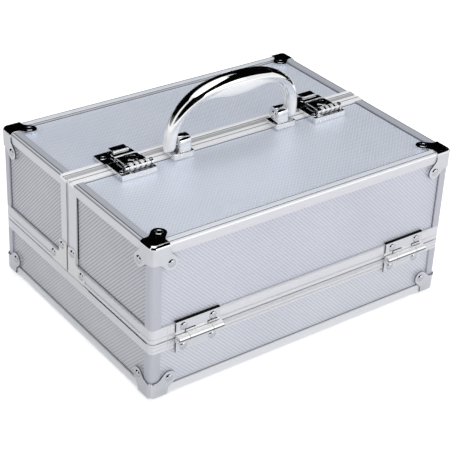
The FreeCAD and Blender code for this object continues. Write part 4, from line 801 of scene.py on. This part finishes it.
# Seams of painted shade on the lids: dark on the top and the ends, pale on the long wall.
for lid, way in LIDS.items():
    dark_seams, pale_seams = bmesh.new(), bmesh.new()
    seam(dark_seams, 2, PANEL_TOP, 1, (-INNER_X, INNER_X), TOP_EDGES[lid])
    seam(pale_seams, 1, way * PANEL_Y, way, (-INNER_X, INNER_X), LID_SPAN)
    for side in (-1, 1):
        seam(dark_seams, 0, side * PANEL_X, side, END_EDGES[lid], LID_SPAN)
    far = both_ways((INNER_X - FAR_SHADE, INNER_X), -way)
    raised(dark_seams, 1, way * PANEL_Y, far, LID_SPAN, SHADE_LIFT)
    make(f"{lid}_panel_seams", dark_seams, lid, grey_painted_shade, "anodised_aluminium")
    make(f"{lid}_long_seams", pale_seams, lid, pale_painted_shade, "anodised_aluminium")

# Seams of painted shade on the base: pale frames, with thin dark strips along the foot.
dark_seams, pale_seams = bmesh.new(), bmesh.new()
for way in (-1, 1):
    long, end, foot = (-INNER_X, INNER_X), (-INNER_Y, INNER_Y), BASE_SPAN[0]
    seam(pale_seams, 1, way * PANEL_Y, way, long, BASE_SPAN)
    seam(pale_seams, 0, way * PANEL_X, way, end, BASE_SPAN)
    raised(dark_seams, 0, way * PANEL_X, end, (foot, foot + END_SHADE), SHADE_LIFT)
    raised(dark_seams, 1, way * PANEL_Y, long, (foot, foot + LONG_SHADE), SHADE_LIFT)
make("base_panel_seams", dark_seams, "base", grey_painted_shade, "anodised_aluminium")
make("base_long_seams", pale_seams, "base", pale_painted_shade, "anodised_aluminium")

# %% [markdown]
# ## Ribs of the rails
# The die gives the rails flat ribs with narrow grooves between. On the top rails and the split they catch the light
# as bright bands. A bump would not change the outline of a rail, so each rib is a low strip with sloped edges
# on the rail's face, and its ends run under the corner caps.

# %% Ribs on top
RAIL_TOP, RIB_HIGH, RIB_SLOPE = 121, 0.3, 0.15
TOP_RIB_X, TOP_RIB_OUT, TOP_RIB_END = 116.5, (92.1, 96.0), (121.7, 126.3)
END_RIB_Y = {"front_lid": (-86.5, -2.2), "back_lid": (16.2, 86.5)}
SPLIT_RIB_X = RAIL_END - 0.6
SPLIT_RIBS = {"front_lid": ((-1.6, 2.4), (3.6, 6.4)), "back_lid": ((9.8, 11.2), (12.8, 15.6))}


def rib(bm, axis, face, first, second):
    """A rib on a rail's face."""
    raised(bm, axis, face, first, second, RIB_HIGH, RIB_SLOPE)


for lid, way in LIDS.items():
    top_ribs, split_ribs = bmesh.new(), bmesh.new()
    rib(top_ribs, 2, RAIL_TOP, (-TOP_RIB_X, TOP_RIB_X), both_ways(TOP_RIB_OUT, way))
    for side in (-1, 1):
        rib(top_ribs, 2, RAIL_TOP, both_ways(TOP_RIB_END, side), END_RIB_Y[lid])
    for span in SPLIT_RIBS[lid]:
        rib(split_ribs, 2, RAIL_TOP, (-SPLIT_RIB_X, SPLIT_RIB_X), span)
    make(f"{lid}_top_rail_ribs", top_ribs, lid, top_rail_finish, "anodised_aluminium")
    make(f"{lid}_split_rail_ribs", split_ribs, lid, split_rail_finish, "anodised_aluminium")

# %% Ribs of the bands
LID_BAND_RIBS, BASE_BAND_RIBS = ((46.8, 49.4), (50.6, 56.8)), ((38.5, 40.0), (41.2, 43.0), (44.2, 44.8))
BAND_X, BAND_Y = 116, {"front_lid": (-86, -8), "back_lid": (20, 86)}

for lid, way in LIDS.items():
    bm = bmesh.new()
    for span in LID_BAND_RIBS:
        for side in (-1, 1):
            rib(bm, 0, side * RAIL_END, BAND_Y[lid], span)
        rib(bm, 1, way * RAIL_FACE, (-BAND_X, BAND_X), span)
    make(f"{lid}_band_ribs", bm, lid, lid_band_finish, "anodised_aluminium")

bm = bmesh.new()
for span in BASE_BAND_RIBS:
    for way in (-1, 1):
        rib(bm, 1, way * RAIL_FACE, (-BAND_X, BAND_X), span)
make("base_band_ribs", bm, "base", base_band_finish, "anodised_aluminium")

# %% [markdown]
# ## Edges of the corner caps
# Each cap is pressed with tongues that stand a little off the panels. The gap below is closed by a pad in the panel's
# film, and on the walls a thin dark ribbon along the cut edge paints the shade of the gap. A copy of the cap, scaled,
# could fill it, but its rim would not stay parallel; ribbons along the cap's outline do.

# %% Outline of a cap
CAP_SIDE, CAP_CLEAR, TONGUE, NOTCH, NOTCH_STEPS, ARC_STEPS = 14.5, 0.06, 5.46, 4.0, 4, 16
BASE_START, LID_START = 2.6, 3.8


def cap_outline(first):
    """The outline round a tongue, as distances from the corner along two edges; first is where it begins."""
    edge = CAP_SIDE + CAP_CLEAR
    start = CAP_SIDE - TONGUE * math.sqrt(2) - NOTCH * math.tan(math.radians(22.5))
    points = [(edge, first)]
    for i in range(NOTCH_STEPS + 1):
        turn = math.radians(180 - 45 * i / NOTCH_STEPS)
        points.append((edge + NOTCH * (1 + math.cos(turn)), start + NOTCH * math.sin(turn)))
    for i in range(ARC_STEPS // 2 + 1):
        turn = math.radians(-45 + 180 * i / ARC_STEPS)
        points.append((CAP_RIVET + TONGUE * math.cos(turn), CAP_RIVET + TONGUE * math.sin(turn)))
    return points + [(v, u) for u, v in reversed(points[:-1])]


BASE_OUTLINE, LID_OUTLINE = cap_outline(BASE_START), cap_outline(LID_START)
print("points of a cap's outline:", len(LID_OUTLINE))

# %% Pads, and ribbons of painted shade below the caps
PAD_DEPTHS, SHADE_DEPTHS, RIBBON_INNER = (2.5, 1.15), (1.15, 0.2), 0.94
LID_FILMS, BASE_FILMS = (laminate_end, laminate_long, laminate_top), (laminate_base_end, laminate_base_long)


def ribbon(bm, outline, origin, first, second, inward, depths):
    """A closed band along the cap's outline between two depths below the cap's face."""
    low, high = depths
    corners = (1, low), (1, high), (RIBBON_INNER, high), (RIBBON_INNER, low)
    skin(bm, [[(origin + inward * depth + (first * u + second * v) * share) * MM for share, depth in corners]
              for u, v in outline])


for body, ways in (("base", (-1, 1)), ("front_lid", (-1,)), ("back_lid", (1,))):
    low = body == "base"
    films, outline = (BASE_FILMS, BASE_OUTLINE) if low else (LID_FILMS, LID_OUTLINE)
    pads, shade_ribbons = [bmesh.new() for _ in films], bmesh.new()
    for side, way in ((side, way) for side in (-1, 1) for way in ways):
        origin = Vector((side * CASE_X, way * CASE_Y, 0 if low else CASE_TOP))
        inward = Vector((-side, 0, 0)), Vector((0, -way, 0)), Vector((0, 0, 1 if low else -1))
        for axis, pad in enumerate(pads):
            first, second = (inward[i] for i in range(3) if i != axis)
            ribbon(pad, outline, origin, first, second, inward[axis], PAD_DEPTHS)
            if axis < 2:
                ribbon(shade_ribbons, outline, origin, first, second, inward[axis], SHADE_DEPTHS)
    # Thin dark ribbons along the caps' edges: painted shade of the gap under them.
    make(f"{body}_cap_shade_ribbons", shade_ribbons, body, grey_painted_shade if low else dark_grey_painted_shade, "tray_plastic")
    for pad, film, word in zip(pads, films, ("end", "long", "top")):
        make(f"{body}_cap_pads_{word}", pad, body, film, "embossed_laminate")

# %% [markdown]
# ## Hinge dressing
# A black roll along the lid's leaf paints the dark line of its lip, with painted shade in the gap above it, and thin
# dark inlays paint the shade in the narrow gaps round the knuckles and along one edge of each leaf. The knuckles could
# be cut apart in the solids, but their gaps are under a millimetre, so their shade is painted with thin dark inlays and
# rolls on the faces behind.

# %% Hinge dressing
HINGE_HALF, LEAF_FACE = 18, 100
LIP_Y, LIP_Z, LIP_RADIUS, LIP_GAP, LIP_GAP_LIFT = 99.3, 58.0, 0.7, (58.2, 58.6), 1.8
KNUCKLES, KNUCKLE_TOP, KNUCKLE_SIDE, SIDE_GAP = ((-10.8, -2.0), (7.6, 15.6)), (50.2, 51.1), (48.9, 50.5), 0.8
EDGE_RADIUS, EDGE_SUNK, LID_EDGE, BASE_EDGE = 0.3, 0.15, (50.8, 57.6), (34.6, 42.6)
SOFT_SHARE, SOFT_MOST = 0.4, 0.35


def roll(bm, start, end, radius, sides=12):
    """A round bar with softened ends."""
    along = Vector(end) - Vector(start)
    soft = min(SOFT_SHARE * radius, SOFT_MOST)
    profile = [(radius - soft, 0), (radius, soft), (radius, along.length - soft), (radius - soft, along.length)]
    turned(bm, profile, start, along, sides)


for lid, way in LIDS.items():
    gaps, lips, base_gaps = (bmesh.new() for _ in range(3))
    for side in (-1, 1):
        centre = side * HINGE_X
        left, right = centre - HINGE_HALF, centre + HINGE_HALF
        roll(lips, (left, way * LIP_Y, LIP_Z), (right, way * LIP_Y, LIP_Z), LIP_RADIUS)
        raised(gaps, 1, way * PANEL_Y, (left, right), LIP_GAP, LIP_GAP_LIFT)
        for low, high in KNUCKLES:
            raised(gaps, 1, way * LEAF_FACE, (centre + low, centre + high), KNUCKLE_TOP)
            raised(gaps, 1, way * LEAF_FACE, (centre + low, centre + low + SIDE_GAP), KNUCKLE_SIDE)
        edge = centre + way * HINGE_HALF, way * (LEAF_FACE - EDGE_SUNK)
        for bm, (low, high) in ((gaps, LID_EDGE), (base_gaps, BASE_EDGE)):
            roll(bm, (*edge, low), (*edge, high), EDGE_RADIUS)
    # Strips and rolls of painted shade: the lip's dark line, the gap above it, the knuckle gaps and one leaf edge.
    make(f"{lid}_hinge_gaps", gaps, lid, black_painted_shade, "tray_plastic")
    make(f"{lid}_hinge_lips", lips, lid, black_painted_shade, "tray_plastic")
    make(f"{lid}_base_hinge_gaps", base_gaps, "base", black_painted_shade, "tray_plastic")

# %% [markdown]
# ## Painted shade at the parting and the split
# The lids close on the base at the parting, and on one another along the split, and both gaps lie in shade. A dark
# strip could be modelled inside the gap, but only its outer edge shows, so each strip of painted shade is an inlay on
# the rail's face.
# It is dark where the gap lies in shade, and pale where light reaches it.

# %% Painted shade at the parting and the split
STRIP_LOW, STRIP_HIGH, STRIP_LIFT = 44.9, 45.72, 0.06
SHADED_Y, LIT_Y, STRIP_X, END_THIN, LONG_THIN = (-94, -20), (-20, 94), (-124, 124), 0.3, 0.4
SPLIT_GAP_Y, SPLIT_GAP_Z = (7.28, 7.75), (47, 118)
END_GAP_Y, END_GAP_Z, END_GAP_LIFT = (-5.6, -4.8), (63, 113.2), 0.45

dark_strips, pale_strips, split_strips, end_gaps = (bmesh.new() for _ in range(4))
for way in (-1, 1):
    raised(dark_strips, 0, way * RAIL_END, SHADED_Y, (STRIP_LOW, STRIP_HIGH), STRIP_LIFT)
    raised(pale_strips, 0, way * RAIL_END, LIT_Y, (STRIP_LOW + END_THIN, STRIP_HIGH), STRIP_LIFT)
    raised(pale_strips, 1, way * RAIL_FACE, STRIP_X, (STRIP_LOW + LONG_THIN, STRIP_HIGH), STRIP_LIFT)
    raised(split_strips, 0, way * RAIL_END, SPLIT_GAP_Y, SPLIT_GAP_Z, STRIP_LIFT)
    raised(end_gaps, 0, way * PANEL_X, END_GAP_Y, END_GAP_Z, END_GAP_LIFT)
# Dark strips paint the shade in shaded gaps, pale strips the gaps that light reaches.
make("base_edge_strips", dark_strips, "base", black_painted_shade, "tray_plastic")
make("base_long_edge_strips", pale_strips, "base", pale_painted_shade, "tray_plastic")
make("back_lid_split_strips", split_strips, "back_lid", black_painted_shade, "tray_plastic")
make("front_lid_end_gaps", end_gaps, "front_lid", black_painted_shade, "tray_plastic")

# %% [markdown]
# ## Handle brackets
# The brackets are castings: a low foot on the split rail, and a lug with a round top beside the handle's leg.
# The CAD lug is square with rounded edges and could stay; chrome shows the difference, so the lug is skinned again with
# a full round, and the pin's head is added. The front faces are white satin plates, as they show white and not
# mirrored: a painted reflection.

# %% Handle brackets
BRACKET_INNER, LUG_WIDE, FOOT_IN, FOOT_OUTER = 38.5, 10, 2, 54.7
LUG_SECTION, FOOT_SECTION, CAST_EDGE = (5.6, 14.5, 4.6), (6.8, 3.4, 0.8), 0.7
PIN_HEAD = [(3.1, 0), (3.1, 0.4), (2.7, 0.75), (1.5, 1.0), (0.3, 1.05)]
EDGE_ROUND, OUTLINE_STEPS, LEAST_ROUND = 0.3, 6, 0.1
FRONT_START, FRONT_PROUD, FRONT_SLOPE = 2.2, 0.1, 0.3
LUG_FRONT, FOOT_FRONT = (39.2, 47.8, (124.1, 130.6)), (37.3, 54.0, (119.55, 123.9))


def arch_outline(half, high, radius, inset):
    """A section in Y and Z with two rounded upper corners, drawn in by an inset."""
    half, top, radius = half - inset, high - inset, max(radius - inset, LEAST_ROUND)
    points = [(-half, 0), (half, 0)]
    for start, y in ((0, half - radius), (90, radius - half)):
        for i in range(OUTLINE_STEPS + 1):
            turn = math.radians(start + 90 * i / OUTLINE_STEPS)
            points.append((y + radius * math.cos(turn), top - radius + radius * math.sin(turn)))
    return points


def casting(bm, start, end, shape):
    """A bar along X with an arched section and rounded ends."""
    rings = []
    way = math.copysign(CAST_EDGE, end - start)
    for at, inward in ((start, way), (end, -way)):
        ends = [(at, CAST_EDGE), (at + inward * EDGE_ROUND, CAST_EDGE * EDGE_ROUND), (at + inward, 0)]
        rings += ends if at == start else ends[::-1]
    skin(bm, [[Vector((PIVOT.x + at, PIVOT.y + y, RAIL_TOP + z)) * MM for y, z in arch_outline(*shape, inset)]
              for at, inset in rings])


castings, fronts = bmesh.new(), bmesh.new()
for side in (-1, 1):
    for (low, high, z), (half, _, _) in ((LUG_FRONT, LUG_SECTION), (FOOT_FRONT, FOOT_SECTION)):
        span = sorted((PIVOT.x + side * low, PIVOT.x + side * high))
        raised(fronts, 1, -FRONT_START, span, z, half - PIVOT.y + FRONT_PROUD - FRONT_START, FRONT_SLOPE)
    casting(castings, side * BRACKET_INNER, side * (BRACKET_INNER + LUG_WIDE), LUG_SECTION)
    casting(castings, side * (BRACKET_INNER - FOOT_IN), side * FOOT_OUTER, FOOT_SECTION)
    turned(castings, PIN_HEAD, (PIVOT.x + side * BRACKET_INNER, PIVOT.y, PIVOT.z), (-side, 0, 0))
make("handle_bracket_castings", castings, "front_lid", cast_chrome, "chrome_plate", "handle_brackets")
# White satin fronts on the brackets: a painted reflection of the white floor.
make("handle_bracket_fronts", fronts, "front_lid", painted_white_nickel, "chrome_plate")

# %% [markdown]
# ## Latch levers and locks
# A latch is pressed from sheet, and its lever turns on a barrel that is rolled in separate knuckles, which show as
# bright collars, painted white as highlights. The key cylinder is a flat disc with a ring groove and a slot. A bump
# could draw them, but they stand proud of the lever, so collars and disc are turned, and the slot's shade is painted as
# a dark bar on the disc.

# %% Latch levers and locks
LATCHES = {"left": -83.5, "right": 85.5}
BARREL_Y, BARREL_Z = -8, 125.8
LEVER_LEFT, LEVER_RIGHT, LEVER_TOP, LEVER_NEAR, LEVER_Y = 6, 11.5, 125.9, -4.9, (-4.6, 6.4)
COLLAR_COUNT, COLLAR_FIRST, COLLAR_WIDE, COLLAR_PITCH, COLLAR_RADIUS, COLLAR_SIDES = 4, 0.7, 2.9, 4.4, 3.0, 20
FRONT_ROLL, FRONT_ROLL_IN, SIDE_ROLL = 0.5, 0.4, 0.3
LOCK = [(4.3, 0), (4.3, 0.3), (4.15, 0.42), (3.6, 0.42), (3.5, 0.3), (3.25, 0.3), (3.15, 0.42), (0.2, 0.42)]
LOCK_SHIFT, LOCK_Y, LOCK_LIFT, LOCK_SIDES = 4, 2.5, 0.06, 32
SLOT_HALF, SLOT_LONG, SLOT_LIFT, SLOT_HIGH = 0.5, 2, 0.48, 0.04

for side, centre in LATCHES.items():
    left, right = centre - LEVER_LEFT, centre + LEVER_RIGHT
    collars, lock, slot = (bmesh.new() for _ in range(3))
    for i in range(COLLAR_COUNT):
        start = left + COLLAR_FIRST + i * COLLAR_PITCH
        roll(collars, (start, BARREL_Y, BARREL_Z), (start + COLLAR_WIDE, BARREL_Y, BARREL_Z), COLLAR_RADIUS,
             COLLAR_SIDES)
    # White rolls along the lever's front and left edges: painted highlights.
    roll(collars, (left + FRONT_ROLL_IN, LEVER_NEAR, LEVER_TOP), (right - FRONT_ROLL_IN, LEVER_NEAR, LEVER_TOP),
         FRONT_ROLL)
    roll(collars, (left, LEVER_Y[0], LEVER_TOP), (left, LEVER_Y[1], LEVER_TOP), SIDE_ROLL)
    lock_x = centre + LOCK_SHIFT
    turned(lock, LOCK, (lock_x, LOCK_Y, LEVER_TOP + LOCK_LIFT), (0, 0, 1), LOCK_SIDES)
    spans = (lock_x - SLOT_HALF, lock_x + SLOT_HALF), (LOCK_Y - SLOT_LONG, LOCK_Y + SLOT_LONG)
    raised(slot, 2, LEVER_TOP + SLOT_LIFT, *spans, SLOT_HIGH, 0)
    # The collars are painted white as highlights; the key slot is a dark bar of painted shade.
    make(f"{side}_latch_collars", collars, f"{side}_latch", painted_white_nickel, "chrome_plate")
    make(f"{side}_lock_face", lock, f"{side}_lock", chrome, "chrome_plate", f"{side}_lock_cylinder")
    make(f"{side}_key_slot", slot, f"{side}_lock", black_painted_shade, "tray_plastic")

# %% [markdown]
# ## Latch plates and keepers
# The plate on the front lid has a raised rim and a skirt down to the rail; the keeper on the back lid has a rolled
# edge. Both are riveted down with small eyelets, and the open end of the barrel is a dark disc of painted shade.
# Their edges could be larger bevels on the solids, but folded sheet shows as bright round lines, so each edge is a
# thin roll painted white as a highlight, and the skirt's face is painted white too.

# %% Latch plates and keepers
BARREL_LEFT, BARREL_END = 9.15, [(2.5, -0.2), (2.5, 0.12), (0.2, 0.12)]
SMALL_RIVET = [(radius * 0.8, height) for radius, height in EYELET]
PLATE_RIVET, KEEPER_RIVET = (-11.6, -9, 124.2), (-10.4, 17.5, 122.8)
KEEPER_BACK, KEEPER_BACK_ROLL, KEEPER_X = (15, 126.75), 0.4, (-3.2, 9.2)
KEEPER_FRONT, KEEPER_FRONT_ROLL, KEEPER_IN = 9.4, 0.3, 0.2
RIM_X, RIM_Y, RIM_Z, RIM_ROLL = -14, (-13.8, 5.8), 123.8, 0.4
SKIRT_Y, SKIRT_HALF, SKIRT_Z = -14, 14.1, (119.7, 124.0)

plate_rivets, keeper_rivets, skirts, keeper_edges, barrel_ends = (bmesh.new() for _ in range(5))
for centre in LATCHES.values():
    shift = Vector((centre, 0, 0))
    left, right = centre - LEVER_LEFT + KEEPER_IN, centre + LEVER_RIGHT - KEEPER_IN
    roll(keeper_edges, (centre + KEEPER_X[0], *KEEPER_BACK), (centre + KEEPER_X[1], *KEEPER_BACK), KEEPER_BACK_ROLL)
    roll(keeper_edges, (left, KEEPER_FRONT, LEVER_TOP), (right, KEEPER_FRONT, LEVER_TOP), KEEPER_FRONT_ROLL)
    roll(skirts, (centre + RIM_X, RIM_Y[0], RIM_Z), (centre + RIM_X, RIM_Y[1], RIM_Z), RIM_ROLL)
    raised(skirts, 1, SKIRT_Y, (centre - SKIRT_HALF, centre + SKIRT_HALF), SKIRT_Z)
    turned(barrel_ends, BARREL_END, (centre - BARREL_LEFT, BARREL_Y, BARREL_Z), (-1, 0, 0))
    turned(plate_rivets, SMALL_RIVET, shift + Vector(PLATE_RIVET), (0, 0, 1))
    turned(keeper_rivets, SMALL_RIVET, shift + Vector(KEEPER_RIVET), (0, 0, 1))
# Skirts, rims and keeper edges are painted white as highlights; the barrel ends are discs of painted shade.
make("latch_plate_skirts", skirts, "front_lid", painted_white_nickel, "chrome_plate")
make("latch_plate_rivets", plate_rivets, "front_lid", chrome, "chrome_plate")
make("latch_keeper_edges", keeper_edges, "back_lid", painted_white_nickel, "chrome_plate")
make("latch_barrel_ends", barrel_ends, "front_lid", black_painted_shade, "tray_plastic")
make("latch_keeper_rivets", keeper_rivets, "back_lid", chrome, "chrome_plate")

# %% [markdown]
# ## Room
# The case stands in a white room. The room could be lit more until it looks white, but then the pale film would
# clip; so its strength is 1 only for rays that come from the camera or a polished surface, and lower for light.

# %% Room
WHITE = linear("#FFFFFF")
ROOM_LIGHT = 0.86
scene = bpy.context.scene
scene.view_settings.view_transform = "Standard"


def seen_directly(tree):
    """1 for rays from the camera or a polished surface, which should meet a white background."""
    rays = add(tree, "LightPath", out=None)
    polished = add(tree, "Math", (rays["Is Glossy Ray"], rays["Is Transmission Ray"]), operation="MAXIMUM")
    return add(tree, "Math", (rays["Is Camera Ray"], polished), operation="MAXIMUM")


scene.world = bpy.data.worlds.new("white_room")
scene.world.use_nodes = True
tree = scene.world.node_tree
tree.nodes.clear()
strength = add(tree, "MapRange", (seen_directly(tree), 0.0, 1.0, ROOM_LIGHT, 1.0))
room = add(tree, "Background", {"Color": WHITE, "Strength": strength})
add(tree, "OutputWorld", {"Surface": room}, None)
print("room light:", ROOM_LIGHT)

# %% [markdown]
# ## Floor and dark screens
# Chrome looks like chrome only when it has something dark to mirror. A photographer hangs black cloth round the
# table; here dark screens and sheets of paper stand round the case, and only reflections see them.
# They turn the tops of the chrome black and draw the band along the handle. The floor is white paper, lifted a little
# for the camera, so that it stays white round a faint shadow.

# %% Floor
FLOOR, FLOOR_GLOW, SHEET = 3.0, 0.3, (0, 1, 2, 3)


def stage_sheet(name, points, faces, colour, glow=0.0):
    """A matt sheet of the stage, which may glow for the camera."""
    mesh = bpy.data.meshes.new(name)
    mesh.from_pydata(points, [], faces)
    piece = bpy.data.objects.new(name, mesh)
    scene.collection.objects.link(piece)
    material, tree = new_material("matt_" + name)
    inputs = {"Base Color": linear(colour), "Roughness": 1.0, "Specular IOR Level": 0.0}
    if glow:
        inputs["Emission Color"] = WHITE
        inputs["Emission Strength"] = add(tree, "MapRange", (seen_directly(tree), 0.0, 1.0, 0.0, glow))
    add(tree, "OutputMaterial", {"Surface": add(tree, "BsdfPrincipled", inputs)}, None)
    mesh.materials.append(material)
    return piece


def flat(x, y, z=0.0):
    """Corners of a level rectangle."""
    return [(x[i], y[j], z) for i, j in CORNERS]


stage_sheet("white_paper_floor", flat((-FLOOR, FLOOR), (-FLOOR, FLOOR)), [SHEET], "#FAFAFA", FLOOR_GLOW)
print("floor:", 2 * FLOOR, "m wide")

# %% Dark screens
SCREEN_AWAY, SCREEN_STEPS, SCREEN_COLOUR = 2.0, 10, "#050505"


def reflection_only(piece):
    """Hides a sheet from everything but polished metal."""
    piece.visible_camera = False
    piece.visible_diffuse = False
    piece.visible_shadow = False
    piece.visible_transmission = False
    piece.visible_volume_scatter = False


def dark_screen(name, azimuths, elevations):
    """A curved screen between two azimuths and two elevations that only polished metal sees."""
    points = []
    for i in range(SCREEN_STEPS + 1):
        azimuth = azimuths[0] + (azimuths[1] - azimuths[0]) * i / SCREEN_STEPS
        points += [around(azimuth, elevation, SCREEN_AWAY) for elevation in elevations]
    faces = [(2 * i, 2 * i + 2, 2 * i + 3, 2 * i + 1) for i in range(SCREEN_STEPS)]
    reflection_only(stage_sheet(name, points, faces, SCREEN_COLOUR))


dark_screen("screen_behind", (112, 250), (4, 58))
dark_screen("screen_front_left", (-84, 5), (8, 66))
dark_screen("screen_front_right", (5, 112), (30, 66))
dark_screen("screen_right", (78, 112), (0.5, 30))

# %% Paper on the floor
PAPER, NEAR, FAR = 0.4 * MM, 0.9, 2.0
BACK_LEFT, BACK_Y, RIGHT_X, RIGHT_Y = -0.8, 0.6, 0.65, -0.5
LEFT_X, FRONT_Y = -131 * MM, -101 * MM

behind = flat((BACK_LEFT, FAR), (BACK_Y, FAR), PAPER) + flat((RIGHT_X, FAR), (RIGHT_Y, BACK_Y), PAPER)
reflection_only(stage_sheet("dark_paper_behind", behind, [SHEET, (4, 5, 6, 7)], SCREEN_COLOUR))
left_paper = [(-NEAR, -NEAR, PAPER), (LEFT_X, FRONT_Y, PAPER), (LEFT_X, NEAR, PAPER), (-NEAR, NEAR, PAPER)]
front_paper = [(-NEAR, -NEAR, PAPER), (NEAR, -NEAR, PAPER), (NEAR, FRONT_Y, PAPER), (LEFT_X, FRONT_Y, PAPER)]
reflection_only(stage_sheet("grey_paper_left", left_paper, [SHEET], "#D4D5D8"))
reflection_only(stage_sheet("grey_paper_in_front", front_paper, [SHEET], "#E0E1E4"))

# %% [markdown]
# ## Softboxes
# Large soft lamps give a case its even light and leave no hard shadow. A sun lamp would draw sharp edges.
# The key stands in front, one lamp hangs above, and a third adds gloss to the metal without lighting the film.

# %% Softboxes
LAMP_TARGET, LAMP_AWAY = Vector((0, 0, 60 * MM)), 2.2


def softbox(name, centre, size, watts, colour="#FFFFFF"):
    """A rectangular lamp that faces the middle of the case."""
    data = bpy.data.lights.new(name, "AREA")
    data.shape = "RECTANGLE"
    data.size, data.size_y = size
    data.energy = watts
    data.color = linear(colour)[:3]
    lamp = bpy.data.objects.new(name, data)
    scene.collection.objects.link(lamp)
    facing = (LAMP_TARGET - centre).normalized()
    lamp.matrix_world = Matrix.Translation(centre) @ facing.to_track_quat("-Z", "Y").to_matrix().to_4x4()
    print("lamp:", name, watts, "W")
    return lamp


softbox("key_softbox", around(0, 36, LAMP_AWAY), (1.4, 1.4), 7)
front_gloss = softbox("front_gloss_softbox", around(10, 28, LAMP_AWAY), (2.0, 1.0), 6)
front_gloss.visible_diffuse = False
softbox("top_softbox", Vector((0, 0, 2.0)), (1.6, 1.6), 7, "#F4F8FF")
